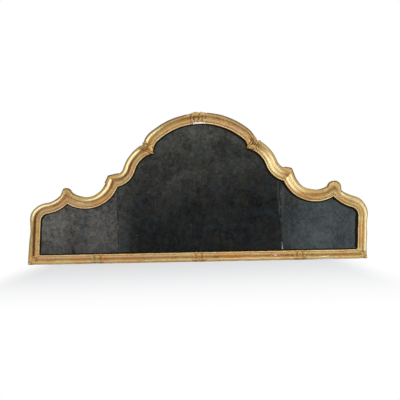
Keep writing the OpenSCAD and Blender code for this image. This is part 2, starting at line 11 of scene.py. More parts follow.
import bpy
import numpy as np
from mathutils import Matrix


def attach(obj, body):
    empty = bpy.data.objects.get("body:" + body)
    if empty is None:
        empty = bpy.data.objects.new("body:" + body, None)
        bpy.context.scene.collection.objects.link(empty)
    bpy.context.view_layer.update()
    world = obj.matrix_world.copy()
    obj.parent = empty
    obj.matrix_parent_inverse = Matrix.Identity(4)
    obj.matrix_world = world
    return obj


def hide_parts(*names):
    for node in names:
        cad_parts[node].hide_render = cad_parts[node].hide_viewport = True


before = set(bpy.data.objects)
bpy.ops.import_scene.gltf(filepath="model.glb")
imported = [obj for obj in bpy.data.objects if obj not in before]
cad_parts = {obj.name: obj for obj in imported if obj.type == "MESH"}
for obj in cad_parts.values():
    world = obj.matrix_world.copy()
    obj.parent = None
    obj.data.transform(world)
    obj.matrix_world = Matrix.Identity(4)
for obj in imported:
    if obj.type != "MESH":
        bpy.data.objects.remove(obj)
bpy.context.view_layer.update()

# ---- The frame's sizes ----
MM = 0.001
# The bottom rail and the two stiles, which lean inwards where this is above 0
BOTTOM_W = 41
FOOT_X = (702, 716)
WING_W = (47, 43)
STILE_LEAN = (3.4, -2.6)
STILE_TOP = (193, 190)
# Heading of a shoulder where it is flattest and at its peak, and the peak's cusp and round tip
SHOULDER_FLAT = (7, 16)
SHOULDER_END = (44, 46)
PEAK = (-573 + 269j, -613 + 279j)
PEAK_REACH = 71
PEAK_R = (24, 30)
# The hollow sags below the line from peak to ear
HOLLOW_W = 53
HOLLOW_SAG = (55, 52.5)
EAR = (-347.5 + 340.5j, -394.5 + 352.5j)
# From an ear's cusp: the two corners of its squared end, and the inner end of its level shelf
EAR_END = ((-57 + 19j, -41 + 51j, 8 + 61j), (-47 + 25j, -35 + 55j, -2 + 61j))
# The haunch is an S: how far it turns either way, and its first arc's share
HAUNCH_W = 51
HAUNCH_TURN = (31, 28)
HAUNCH_SHARE = (0.484, 0.482)
CLASP = (-186 + 486.5j, -235 + 501j)
# Heading of each half arch at its clasp, and where its tight bend meets its wide one
ARCH_W = 48.5
ARCH_START = (97, 95)
ARCH_BEND = (42, 40)
CROWN = (25 + 614j, -25 + 614j)
# The section: depth of the frame, of its seats, of the bead's centre and of the outer rim
FRAME_DEPTH = 40
SEAT_DEPTH = 29
BEAD_R = 3
BEAD_DEPTH = SEAT_DEPTH - 0.9
BAND_CROWN = 3.5
# How far over the torus its highest line lies, as a share of its width
CREST_SHARE = 0.36
# 1 for an elliptical torus, and fuller below 1
FULLNESS = 0.8
RIM_DEPTH = 31.5
SIDE_DEPTHS = (28, 22, 15, 8, 2.5, 1.2)
REBATE_W = 12
GLASS_DEPTH = 21
# The rebate and the strip of painted shadow at its sight edge keep clear of the glass by this much
GLASS_CLEARANCE = 0.15
# The rebate's wall has one more row of points here
WALL_DEPTH = 11
# The visible back lies a little inside the keys let into it
BACK_DEPTH = 0.4
# Distance between sections along a moulding, and how far a fan of turning sections runs out from
# a mitre at least. A fan has more sections where it also rounds a tip.
STEP = 2.0
FAN_RUN = 14
TIP_FAN = 46
MITRE_FAN = 26
# Steps by which an edge is followed to a round tip, in degrees, how many at most, and how many
# points the tip has
TIP_STEP = 0.5
TIP_MOST = 200
TIP_POINTS = 40
# How far beyond its ends an arc is searched, in degrees
OVERRUN = 60


# ---- The sight line ----
def turned(heading):
    return cmath.exp(1j * math.radians(heading))


def cross(u, v):
    return (u.conjugate() * v).imag


def mirrored(place):
    return -place.conjugate()


def run_between(a, b):
    """Way from heading a to heading b along a bend of radius 1."""
    return -1j * (turned(b) - turned(a))


class Bend:
    """One arc of the sight line. Its radius is negative where it bends to the right."""

    def __init__(self, start, radius, first, last):
        self.centre = start + 1j * radius * turned(first)
        self.radius = radius
        self.first = first
        self.last = last
        self.way = 1 if last > first else -1

    def at(self, off, heading):
        """Point at distance off outside the arc."""
        return self.centre - 1j * (self.radius - off) * turned(heading)

    def line(self, off, a, b):
        count = max(3, math.ceil(abs(b - a)))
        return [self.at(off, h) for h in np.linspace(a, b, count)]

    def end(self):
        return self.at(0, self.last)

    def meets(self, off, cusp, mitre):
        """Heading at which its parallel at distance off meets a mitre line."""
        share = -cross(self.centre - cusp, turned(mitre)) / (self.radius - off)
        return mitre - math.degrees(math.acos(share))

    def nearest(self, off, place):
        """Heading of the parallel's point that is nearest to a place, to a degree."""
        low, high = sorted((self.first, self.last))
        headings = np.arange(low - OVERRUN, high + OVERRUN)
        return min(headings, key=lambda h: abs(self.at(off, h) - place))


def two_bends(start, end, a, m, b):
    """Two arcs that join smoothly, through heading m."""
    u = run_between(a, m)
    v = run_between(m, b)
    d = end - start
    first = Bend(start, cross(d, v) / cross(u, v), a, m)
    return [first, Bend(first.end(), cross(u, d) / cross(u, v), m, b)]


def s_bend(start, end, turn, share):
    """An S whose arcs meet on the line between its ends."""
    d = end - start
    level = math.degrees(cmath.phase(d))
    radius = abs(d) / 2 / math.sin(math.radians(turn))
    first = Bend(start, share * radius, level - turn, level + turn)
    return [first, Bend(first.end(), (share - 1) * radius, level + turn, level - turn)]


def sagging_bend(start, end, sag):
    d = end - start
    level = math.degrees(cmath.phase(d))
    turn = math.degrees(2 * math.atan(2 * sag / abs(d)))
    return [Bend(start, abs(d) / 2 / math.sin(math.radians(turn)), level - turn, level + turn)]


# Five lines run along every moulding: its sight edge, the foot of its band, the two sides of the
# valley before its torus, and its outer edge. The valley's sides lie at a usual distance from the
# sight edge, or on a narrow moulding at a share of its width.
SIGHT, BAND_FOOT, VALLEY_IN, VALLEY_OUT, EDGE = range(5)
VALLEY = {VALLEY_IN: (22.5, 0.51), VALLEY_OUT: (28, 0.62)}


def distance(line, width):
    """How far a line lies outside the sight edge of a moulding."""
    if line in VALLEY:
        usual, share = VALLEY[line]
        return min(usual, share * width)
    return {SIGHT: 0, BAND_FOOT: 2 * BEAD_R, EDGE: width}[line]


def run_along(points):
    """How far each point of a line lies from its start."""
    return np.concatenate([[0], np.cumsum(abs(np.diff(points)))])


def points_at(wanted, run, points):
    """Points of a line at wanted distances from its start."""
    return np.interp(wanted, run, points.real) + 1j * np.interp(wanted, run, points.imag)


def spaced(points, count):
    """Points at equal steps along a line."""
    points = np.array(points)
    run = run_along(points)
    return points_at(np.linspace(0, run[-1], count), run, points)


# The bent mouldings of a half, and the joints between them
SHOULDER, HOLLOW, HAUNCH, ARCH = range(4)
AT_PEAK, AT_EAR, AT_CLASP = range(3)


class Half:
    """The five mouldings of one half, from the foot of its stile to the crown. s is 0 for the left
    half and 1 for the right one."""

    def __init__(self, s):
        self.lean = math.tan(math.radians(STILE_LEAN[s]))
        self.stile_w = WING_W[s]
        self.foot = complex(-FOOT_X[s], BOTTOM_W)
        self.stile_heading = 90 - STILE_LEAN[s]
        self.head = self.foot + (STILE_TOP[s] - BOTTOM_W) * (self.lean + 1j)
        self.runs = [
            two_bends(self.head, PEAK[s], self.stile_heading, SHOULDER_FLAT[s], SHOULDER_END[s]),
            sagging_bend(PEAK[s], EAR[s], HOLLOW_SAG[s]),
            s_bend(EAR[s], CLASP[s], HAUNCH_TURN[s], HAUNCH_SHARE[s]),
            two_bends(CLASP[s], CROWN[s], ARCH_START[s], ARCH_BEND[s], 0)]
        self.widths = [WING_W[s], HOLLOW_W, HAUNCH_W, ARCH_W]
        self.cusps = [PEAK[s], EAR[s], CLASP[s]]
        self.mitres = [(a[-1].last + b[0].first) / 2 + 90 for a, b in zip(self.runs, self.runs[1:])]
        self.tip_r = PEAK_R[s]
        self.tip = PEAK[s] + (PEAK_REACH - self.tip_r) * turned(self.mitres[AT_PEAK])
        self.ear_end = [EAR[s] + corner for corner in EAR_END[s]]

    def corner(self, line):
        """Where a line of the stile meets the same line of the bottom rail."""
        side = self.foot + distance(line, self.stile_w) * turned(self.stile_heading + 90)
        run = side.imag - (BOTTOM_W - distance(line, BOTTOM_W))
        return side - run * (self.lean + 1j)

    def stile(self, line):
        """Stations from the bottom corner to the joint with the shoulder."""
        out = distance(line, self.stile_w) * turned(self.stile_heading + 90)
        start = self.foot + FAN_RUN * turned(self.stile_heading) + out
        end = self.head + out
        body = max(2, math.ceil((abs(self.head - self.foot) - FAN_RUN) / STEP))
        return np.concatenate([spaced([self.corner(line), start], MITRE_FAN)[:-1],
                               spaced([start, end], body + 1)[:-1]])

    def end_bend(self, run, end):
        """The bend at one end of a moulding (0 its start, -1 its end), the way in which headings
        change towards that end, and which of the cusps is there."""
        bend = self.runs[run][end]
        return (bend, bend.way, run) if end == -1 else (bend, -bend.way, run - 1)

    def mitre_heading(self, run, end, line):
        """Heading at which a line of a bent moulding meets its mitre."""
        bend, _, joint = self.end_bend(run, end)
        return bend.meets(distance(line, self.widths[run]), self.cusps[joint], self.mitres[joint])

    def body_end(self, run, end):
        """Heading between the body of a moulding, with square sections, and its fan."""
        bend, onward, joint = self.end_bend(run, end)
        if not 0 <= joint < len(self.cusps):
            return bend.last if end == -1 else bend.first
        ends = [self.mitre_heading(run, end, line) for line in range(5)]
        if (run, end) == (HAUNCH, 0):
            ends.append(bend.nearest(HAUNCH_W, self.ear_end[-1]))
        tightest = min(ends, key=lambda h: onward * h)
        return tightest - onward * math.degrees(FAN_RUN / abs(bend.radius))

    def fan(self, run, end, line):
        """One line from the body of a moulding to its mitre."""
        bend, onward, joint = self.end_bend(run, end)
        out = distance(line, self.widths[run])
        start = self.body_end(run, end)
        if line == EDGE and joint == AT_PEAK:
            return self.round_tip(bend, out, start, onward)
        if line == EDGE and joint == AT_EAR:
            lower, upper, shelf = self.ear_end
            across = turned(self.mitres[AT_EAR])
            share = cross(across, lower - self.cusps[AT_EAR]) / cross(across, lower - upper)
            middle = lower + share * (upper - lower)
            if end == -1:
                return bend.line(out, start, bend.nearest(out, lower)) + [lower, middle]
            return bend.line(out, start, bend.nearest(out, shelf)) + [shelf, upper, middle]
        return bend.line(out, start, self.mitre_heading(run, end, line))

    def round_tip(self, bend, out, heading, onward):
        """Along a moulding's outer edge to the peak's round tip, and round that to the mitre."""
        points = [bend.at(out, heading)]
        while abs(points[-1] - self.tip) > self.tip_r and len(points) < TIP_MOST:
            heading += TIP_STEP * onward
            points.append(bend.at(out, heading))
        mitre = self.mitres[AT_PEAK]
        entry = math.degrees(cmath.phase((points[-1] - self.tip) / turned(mitre)))
        return points + [self.tip + self.tip_r * turned(mitre + turn)
                         for turn in np.linspace(entry, 0, TIP_POINTS)]

    def bent(self, run, line):
        """Stations of a bent moulding from its first joint to the next."""
        bends = self.runs[run]
        out = distance(line, self.widths[run])
        low = self.body_end(run, 0)
        high = self.body_end(run, -1)
        parts = []
        if run > SHOULDER:
            fan = MITRE_FAN if run == ARCH else TIP_FAN
            parts.append(spaced(self.fan(run, 0, line), fan)[:0:-1])
        for bend in bends:
            a = low if bend is bends[0] else bend.first
            b = high if bend is bends[-1] else bend.last
            middle = abs(bend.radius - self.widths[run] / 2) * math.radians(abs(b - a))
            headings = np.linspace(a, b, max(3, math.ceil(middle / STEP)) + 1)[:-1]
            parts.append(np.array([bend.at(out, h) for h in headings]))
        if run < ARCH:
            fan = MITRE_FAN if run == HAUNCH else TIP_FAN
            parts.append(spaced(self.fan(run, -1, line), fan)[:-1])
        return np.concatenate(parts)

    def stations(self, line):
        """The line's stations on every moulding, and its last point at the crown."""
        arch = self.runs[ARCH][-1]
        bent = [self.bent(run, line) for run in (SHOULDER, HOLLOW, HAUNCH, ARCH)]
        return [self.stile(line)] + bent, arch.at(distance(line, ARCH_W), arch.last)


HALVES = [Half(0), Half(1)]
HALF_MEMBERS = ("stile", "shoulder", "hollow", "haunch", "arch")
MEMBERS = (["left_" + name for name in HALF_MEMBERS]
           + ["right_" + name for name in reversed(HALF_MEMBERS)] + ["bottom_rail"])


def whole_line(line):
    """One line round the frame, as a list of the stretches of its members."""
    left, top = HALVES[0].stations(line)
    right, _ = HALVES[1].stations(line)
    # The right half is mirrored and walked from the crown down, so each stretch gives its last
    # point to the one before
    right = [mirrored(stretch) for stretch in reversed(right)]
    starts = [top] + [stretch[0] for stretch in right]
    down = [np.concatenate([[start], stretch[:0:-1]]) for start, stretch in zip(starts, right)]
    return left + down + [rail(line)]


def rail(line):
    """Stations of the bottom rail, from the right corner to the left one."""
    start = mirrored(HALVES[1].corner(line))
    end = HALVES[0].corner(line)
    low = 1j * start.imag
    square = [FOOT_X[1] - FAN_RUN + low, -FOOT_X[0] + FAN_RUN + low]
    body = math.ceil(sum(FOOT_X) / STEP)
    return np.concatenate([spaced([start, square[0]], MITRE_FAN)[:-1], spaced(square, body)[:-1],
                           spaced([square[1], end], MITRE_FAN)[:-1]])


# The outer edge was cut by eye: a place, how far the edge stands out there, and over what length
UNEVEN_EDGE = [(-508 + 314j, 4, 9), (655 + 275j, 4, 22), (690 + 243j, 4, 26), (-735 + 225j, 3, 30),
               (-195 + 560j, 3, 26), (262 + 552j, -3.5, 22), (646 + 309j, 3, 7), (-737 + 20j, 2, 18),
               (761 + 85j, -4.4, 60), (724 + 266j, 4.9, 36), (-602 + 325j, -7, 9),
               (-742 + 157j, -4, 36), (482 + 327j, -2.8, 16), (406 + 411j, 3, 24),
               (-469 + 301j, -2, 24), (127 + 647j, 1.5, 60), (-402 + 350j, 2.8, 10),
               (650 + 309j, -2.5, 16), (575, -5.48, 24), (-449, -3.5, 16), (758 + 111j, 3.1, 16),
               (-59 + 652j, -1.6, 24), (696, 3, 16), (197, -3.1, 10), (762 + 156j, -2.9, 36),
               (-174, 2, 60)]
# Over how many stations corners are rounded, and how far the inner and outer lines waver
RUB_REACH = 12
EDGE_RUBBED = 2.6
SIGHT_RUBBED = 0.9
DRIFT_IN = 0.35
DRIFT_OUT = 0.7
DRIFT_LENGTH = 31


def rubbed(loop, spread):
    """A closed line with its corners rounded over a few stations."""
    reach = np.arange(-RUB_REACH, RUB_REACH + 1)
    weights = np.exp(-reach ** 2 / (2 * spread ** 2))
    weights /= weights.sum()
    return sum(weight * np.roll(loop, shift) for weight, shift in zip(weights, reach))


def outward(loop):
    """Directions square to a closed line that is walked with the outside on its left."""
    way = np.roll(loop, -1) - np.roll(loop, 1)
    return 1j * way / abs(way)


def waver(points, length, phase=0):
    """A gentle unevenness between -1 and 1 that changes over about the given length."""
    x = points.real / length
    y = points.imag / length
    return (np.sin(2.1 * x + 1.3 * y + phase) + np.sin(1.1 * x - 2.7 * y + 2 + phase)
            + np.sin(3.7 * x + 3.1 * y + 4 * phase)) / 3


def frame_lines():
    """The five lines round the whole frame, one column each, and where each member starts."""
    stretches = [whole_line(line) for line in range(5)]
    starts = np.concatenate([[0], np.cumsum([len(stretch) for stretch in stretches[0]])])
    columns = []
    for line, parts in enumerate(stretches):
        loop = np.concatenate(parts)
        normal = outward(rubbed(loop, EDGE_RUBBED))
        if line == EDGE:
            for place, push, spread in UNEVEN_EDGE:
                loop = loop + push * np.exp(-abs(loop - place) ** 2 / (2 * spread ** 2)) * normal
        drift = DRIFT_OUT if line > BAND_FOOT else DRIFT_IN
        loop = loop + drift * waver(loop, DRIFT_LENGTH, line) * normal
        columns.append(rubbed(loop, EDGE_RUBBED if line == EDGE else SIGHT_RUBBED))
    return np.stack(columns, axis=1), starts


LINES, STARTS = frame_lines()


# ---- Making meshes ----
# Nothing reaches past the solids: to the left and right, up and down, and forward
ACROSS = (-751.4, 765.7)
UP = (0.1, 667.2)
FORWARD = 42.9


def to_world(place, depth):
    """Metres, in the part's frame."""
    across = np.clip(place.real, *ACROSS)
    height = np.clip(place.imag, *UP)
    return np.stack([across, FRAME_DEPTH / 2 - np.minimum(depth, FORWARD), height], axis=-1) * MM


def make_piece(name, points, faces, finish, sharp=40):
    """A smooth-shaded mesh that rides on the frame."""
    mesh = bpy.data.meshes.new(name)
    mesh.from_pydata(np.reshape(points, (-1, 3)).tolist(), [], faces)
    mesh.validate()
    mesh.shade_smooth()
    mesh.set_sharp_from_angle(angle=math.radians(sharp))
    mesh.materials.append(finish)
    piece = bpy.data.objects.new(name, mesh)
    bpy.context.scene.collection.objects.link(piece)
    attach(piece, "root")
    return piece


def give(piece, looks, shape):
    """Stores values for every point of a grid, which the finishes read by their names."""
    for name, values in looks.items():
        attribute = piece.data.attributes.new(name, "FLOAT", "POINT")
        attribute.data.foreach_set("value", np.broadcast_to(values, shape).ravel().astype(np.float32))


def ring_faces(rows, count):
    """Quads between rows of closed rings, and a cap at either end."""
    faces = []
    for i in range(rows - 1):
        for j in range(count):
            k = (j + 1) % count
            faces.append((i * count + j, i * count + k, (i + 1) * count + k, (i + 1) * count + j))
    faces.append(tuple(reversed(range(count))))
    faces.append(tuple(range((rows - 1) * count, rows * count)))
    return faces


# ---- Finishes: arithmetic on sockets adds Math nodes ----
def maths(operation, flipped=False):
    """A method that joins a socket and another value by a Math node."""
    def method(socket, other):
        a, b = (other, socket) if flipped else (socket, other)
        return socket.finish.node("ShaderNodeMath", {"operation": operation}, {0: a, 1: b})
    return method


class Socket:
    """An output of a node. Sums, differences and products of sockets and numbers are sockets too."""

    def __init__(self, finish, output):
        self.finish = finish
        self.output = output

    __add__ = maths("ADD")
    __radd__ = maths("ADD", flipped=True)
    __sub__ = maths("SUBTRACT")
    __rsub__ = maths("SUBTRACT", flipped=True)
    __mul__ = maths("MULTIPLY")
    __rmul__ = maths("MULTIPLY", flipped=True)

    def __abs__(self):
        return self.finish.node("ShaderNodeMath", {"operation": "ABSOLUTE"}, {0: self})


class Finish:
    """A node tree being put together, for a material or for the world."""

    def __init__(self, owner):
        owner.use_nodes = True
        self.owner = owner
        self.tree = owner.node_tree
        self.tree.nodes.clear()

    def node(self, kind, settings=None, inputs=None, output=0):
        """Adds a node, sets it up, then sets or links its sockets. Returns one of its outputs."""
        node = self.tree.nodes.new(kind)
        for name, value in (settings or {}).items():
            setattr(node, name, value)
        for name, value in (inputs or {}).items():
            if isinstance(value, Socket):
                self.tree.links.new(value.output, node.inputs[name])
            else:
                node.inputs[name].default_value = value
        return Socket(self, node.outputs[output]) if node.outputs else None

    def place(self):
        return self.node("ShaderNodeTexCoord", output="Object")

    def axis(self, place, axis):
        return self.node("ShaderNodeSeparateXYZ", inputs={0: place}, output=axis)

    def stretched(self, place, scale):
        return self.node("ShaderNodeVectorMath", {"operation": "MULTIPLY"}, {0: place, 1: scale})

    def noise(self, place, scale, detail=4, roughness=0.55, distortion=0):
        """Cloudy values about 0.5. The scale is in cycles per metre."""
        return self.node("ShaderNodeTexNoise", inputs={
            "Vector": place, "Scale": scale, "Detail": detail, "Roughness": roughness,
            "Distortion": distortion})

    def spots(self, place, scale):
        """Distance from the nearest of many scattered points, in cells."""
        return self.node("ShaderNodeTexVoronoi", inputs={"Vector": place, "Scale": scale})

    def given(self, name):
        return self.node("ShaderNodeAttribute", {"attribute_name": name}, output="Fac")

    def between(self, value, low, high):
        """0 below low, 1 above high, and a smooth step between; falling where high is below low."""
        return self.node("ShaderNodeMapRange", {"interpolation_type": "SMOOTHSTEP"}, {
            "Value": value, "From Min": low, "From Max": high})

    def mix(self, share, a, b, blend="MIX"):
        a, b = (colour if isinstance(colour, Socket) else (*colour, 1) for colour in (a, b))
        return self.node("ShaderNodeMix", {"data_type": "RGBA", "blend_type": blend},
                         {0: share, 6: a, 7: b}, output=2)

    def painted(self, colour, coats):
        """A colour with others painted over it in turn, each by its share from 0 to 1."""
        for share, coat in coats:
            colour = self.mix(share, colour, coat)
        return colour

    def seen(self):
        """1 on the rays that the camera sees directly, in a mirror or through glass."""
        return sum(self.node("ShaderNodeLightPath", output=ray)
                   for ray in ("Is Camera Ray", "Is Glossy Ray", "Is Transmission Ray"))

    def bump(self, height, distance, strength):
        """Raises the surface by the height times the distance, in metres."""
        return self.node("ShaderNodeBump", inputs={
            "Height": height, "Distance": distance, "Strength": strength}, output="Normal")

    def surface(self, inputs):
        shader = self.node("ShaderNodeBsdfPrincipled", inputs=inputs)
        self.node("ShaderNodeOutputMaterial", inputs={"Surface": shader})
        return self.owner


def new_finish(name):
    return Finish(bpy.data.materials.new(name))


PALE_GOLD = (1.0, 0.84, 0.48)
GOLD = (0.44, 0.305, 0.115)
ORANGE_GOLD = (0.45, 0.235, 0.07)
OLIVE_GOLD = (0.265, 0.20, 0.07)
ROSE_BOLE = (0.43, 0.255, 0.16)
BROWN = (0.185, 0.098, 0.026)
RED_BROWN = (0.12, 0.036, 0.003)
DARK_OLIVE = (0.055, 0.034, 0.011)
UMBER = (0.16, 0.085, 0.03)
SHADE_GRIME_BLACK = (0.008, 0.006, 0.004)
BROWN_SHADOW = (0.022, 0.014, 0.006)
GESSO = (0.80, 0.74, 0.64)
OCHRE = (0.42, 0.27, 0.12)
BARE_WOOD = (0.27, 0.17, 0.095)


def gilding():
    """Worn leaf, rosy where the bole shows, with a painted highlight in pale gold, painted shade in
    olive and umber on the outer slope and in dark olive at the rim, a red-brown valley of bole deepened
    by painted shade, near-black painted shade at the sight edge and painted shade with grime in carved
    folds, and the white gesso bare where it has chipped."""
    f = new_finish("worn_water_gilding")
    place = f.place()
    run = f.node("ShaderNodeCombineXYZ", inputs={0: f.given("along"), 1: f.given("across")})
    broad = f.noise(place, 9, 3)
    cloudy = f.noise(place, 34, 4)
    fine = f.noise(place, 210, 5, 0.65)
    streaks = f.noise(f.stretched(run, (0.2, 1, 1)), 130, 4, 0.6)
    worn = f.noise(f.stretched(run, (0.35, 1, 1)), 75, 5, 0.65, 0.8)
    rosy = f.between(f.given("rosy") + 0.9 * (cloudy - 0.5) + 0.5 * (streaks - 0.5), 0.3, 0.8)
    slope = f.given("slope")
    shine = f.given("shine")
    # Painted highlight in pale gold, set by the shine look
    painted_highlight = f.between(shine + 0.5 * (streaks - 0.5) + 0.3 * (worn - 0.5), 0.12, 0.73)
    # Valley: red-brown bole deepened as painted shade. Rim: dark olive painted shade at the outer edge
    valley = f.between(f.given("valley") + 0.3 * (cloudy - 0.5), 0.1, 0.95)
    rim = f.between(f.given("rim") + 0.7 * (broad - 0.5), 0.35, 1.0)
    # Near-black painted shade at the sight edge and under the bead, and painted shade with grime in
    # carved folds
    shade_and_dirt = f.between(f.given("grime") + 0.4 * (cloudy - 0.5) + 0.25 * (fine - 0.5), 0.3, 0.85)
    grain = f.noise(f.stretched(place, (1, 1, 0.2)), 60)
    timber = f.mix(f.between(grain, 0.35, 0.7), BARE_WOOD, OCHRE)
    bare = f.between(f.given("bare") + 0.3 * (cloudy - 0.5), 0.3, 0.7)
    chip = f.between(f.given("loss") + 0.9 * (fine - 0.5) + 0.5 * (cloudy - 0.5), 0.42, 0.5)
    colour = f.painted(GOLD, [
        (f.between(broad, 0.38, 0.62), ORANGE_GOLD),
        (f.between(streaks, 0.48, 0.64) * 0.55, OLIVE_GOLD),
        (f.between(worn, 0.5, 0.65) * 0.68, BROWN),
        (rosy * 0.75, ROSE_BOLE),
        # Painted shade on the outer slope, olive and then umber
        (f.between(slope + 0.4 * (cloudy - 0.5), 0.1, 0.8), OLIVE_GOLD),
        (f.between(slope + 0.6 * (cloudy - 0.5), 0.7, 1.9) * 0.9, UMBER),
        (painted_highlight, PALE_GOLD),
        (valley * 0.95, RED_BROWN),
        (rim * 0.88, DARK_OLIVE),
        (shade_and_dirt * 0.95, SHADE_GRIME_BLACK),
        (bare, timber),
        (chip, GESSO)])
    cracks = f.between(f.node("ShaderNodeTexVoronoi", {"feature": "DISTANCE_TO_EDGE"}, {
        "Vector": f.stretched(run, (1, 0.12, 1)), "Scale": 42}), 0.0, 0.02)
    gilded = (1 - bare) * (1 - chip) * (1 - shade_and_dirt)
    return f.surface({
        "Base Color": colour,
        "Metallic": 0.35 * gilded,
        "Specular IOR Level": 0.3,
        "Roughness": 0.42 + 0.25 * fine + 0.2 * shade_and_dirt - 0.14 * shine + 0.2 * chip,
        "Normal": f.bump(0.45 * fine + 0.35 * streaks + 0.3 * cracks - 0.9 * chip, 0.0006, 0.75),
    })


def painted_sight_shadow():
    """Painted shadow, near black, in the corner between the sight edge and the glass."""
    f = new_finish("painted_sight_shadow")
    place = f.place()
    return f.surface({
        "Base Color": f.mix(f.between(f.noise(place, 180, 4), 0.4, 0.7), SHADE_GRIME_BLACK, BROWN_SHADOW),
        "Specular IOR Level": 0.04,
        "Roughness": 0.85,
        "Normal": f.bump(f.noise(place, 260, 3), 0.0004, 0.6),
    })


SILVER_LEFT = (0.082, 0.080, 0.075)
SILVER_CORNER = (0.125, 0.122, 0.112)
SILVER_LOW = (0.0115, 0.0125, 0.0125)
SILVER_HIGH = (0.058, 0.059, 0.052)
SILVER_RIGHT = (0.056, 0.068, 0.071)
BLUE_HAZE = (0.020, 0.035, 0.045)
OLIVE_HAZE = (0.045, 0.040, 0.022)
FOX_BLACK = (0.010, 0.009, 0.008)
CRACK_BLACK = (0.006, 0.006, 0.006)
SCAB_GREY = (0.13, 0.13, 0.12)
SMEAR_GREY = (0.085, 0.088, 0.085)
FLAKE_GREY = (0.30, 0.31, 0.30)
SPECK_GREY = (0.20, 0.19, 0.17)
SCRATCH_GREY = (0.12, 0.12, 0.115)
# Where the joints between the plates lie, and half the width of their line, in metres
PLATE_JOINTS = (-0.350, 0.380)
HAIR = 0.001


def silvering():
    """Old silvering behind the glass: hazed, mottled and spotted, and foxed along its joints. Its dark
    base tones, lighter at the top, to the upper left and on the left plate and darker low down, are a
    painted reflection of a dark room.
    """
    f = new_finish("foxed_silvering")
    place = f.place()
    across = f.axis(place, "X")
    height = f.axis(place, "Z")
    broad = f.noise(place, 6, 4, 0.6)
    mottled = f.noise(place, 46, 6, 0.7, 0.6)
    grain = f.noise(place, 120, 3, 0.7)
    # Painted reflection: the plates' base tones by place, lighter high up, at the upper left and on the
    # left plate, darker low down and in the middle
    duller = f.between(across, -0.03, 0.1) * f.between(height, 0.58, 0.45)
    middle = f.painted(SILVER_LOW, [
        (f.between(height + 0.25 * (broad - 0.5), 0.14, 0.62), SILVER_HIGH),
        (duller * 0.45, SILVER_LOW),
        (f.between(across, -0.26, -0.36) * 0.5, SILVER_LEFT)])
    upper_left = f.between(across + 0.1 * (broad - 0.5), -0.52, -0.68) * f.between(height, 0.05, 0.2)
    left = f.painted(SILVER_LEFT, [
        (f.between(height, 0.2, 0.06) * 0.25, SILVER_LOW), (upper_left, SILVER_CORNER)])
    right = f.mix(f.between(across + 0.05 * (mottled - 0.5), 0.47, 0.38) * 0.6, SILVER_RIGHT, SILVER_LOW)
    clouds = f.between(f.noise(place, 11, 3, 0.6), 0.5, 0.64) * f.between(height, 0.25, 0.4)
    painted_reflection = f.painted(left, [(f.between(across, joint - HAIR, joint + HAIR), plate)
                            for joint, plate in zip(PLATE_JOINTS, (middle, right))])
    painted_reflection = f.mix(clouds * 0.6, painted_reflection, SILVER_LOW)
    spotty = 2.7 - 1.2 * f.between(across, 0.36, 0.4)
    tone = 0.92 + spotty * (mottled - 0.5) + 1.9 * (broad - 0.5) + 1.7 * (grain - 0.5)
    tones = f.node("ShaderNodeCombineXYZ", inputs={0: tone, 1: tone, 2: tone})
    tint = f.noise(place, 17, 3)
    joints = sum(f.between(abs(across - joint), 0.009, 0.0) for joint in PLATE_JOINTS)
    fox = f.between(joints * 0.55 + mottled, 0.86, 1.05)
    scabs = f.between(joints * 0.5 + grain, 0.98, 1.08)
    crack = f.between(joints, 0.8, 0.92)
    dashes = f.between(f.noise(f.stretched(place, (0.1, 1, 1)), 95, 2), 0.56, 0.62)
    smears = f.between(f.noise(f.stretched(place, (1, 1, 0.05)), 110, 3), 0.5, 0.68)
    by_joint = f.between(across, 0.35, 0.375) * f.between(across, 0.43, 0.395)
    right_joint = abs(across - PLATE_JOINTS[1] - 0.002)
    low_down = f.between(height + 0.06 * (grain - 0.5), 0.08, 0.05)
    flaked = f.between(right_joint, 0.005, 0.001) * low_down
    specks = f.between(f.spots(place, 40), 0.10, 0.05) * f.between(mottled, 0.5, 0.62)
    scratches = f.between(f.noise(f.stretched(place, (1, 1, 0.04)), 240, 2), 0.72, 0.78)
    colour = f.painted(f.mix(1.0, painted_reflection, tones, "MULTIPLY"), [
        (f.between(tint, 0.52, 0.7) * 0.35, BLUE_HAZE),
        (f.between(tint, 0.46, 0.3) * 0.3, OLIVE_HAZE),
        (fox, FOX_BLACK),
        (scabs * 0.7, SCAB_GREY),
        (crack * 0.85, CRACK_BLACK),
        (crack * dashes * 0.8, SCAB_GREY),
        (by_joint * smears * 0.5, SMEAR_GREY),
        (flaked, FLAKE_GREY),
        (specks * 0.8, SPECK_GREY),
        (scratches * 0.4, SCRATCH_GREY)])
    return f.surface({
        "Base Color": colour,
        "Metallic": 0.9 - 0.4 * fox - 0.5 * specks,
        "Roughness": 0.12 + 0.2 * f.between(broad, 0.3, 0.75) + 0.2 * fox + 0.2 * specks,
        "Normal": f.bump(broad, 0.0012, 0.25),
    })


BOARD_PALE = (0.34, 0.225, 0.13)
BOARD_DARK = (0.22, 0.135, 0.07)
BATTEN_PALE = (0.38, 0.26, 0.155)
BATTEN_DARK = (0.26, 0.165, 0.09)
DARK_FIBRE = (0.085, 0.05, 0.028)
DUST = (0.20, 0.165, 0.13)
STAIN = (0.06, 0.035, 0.02)


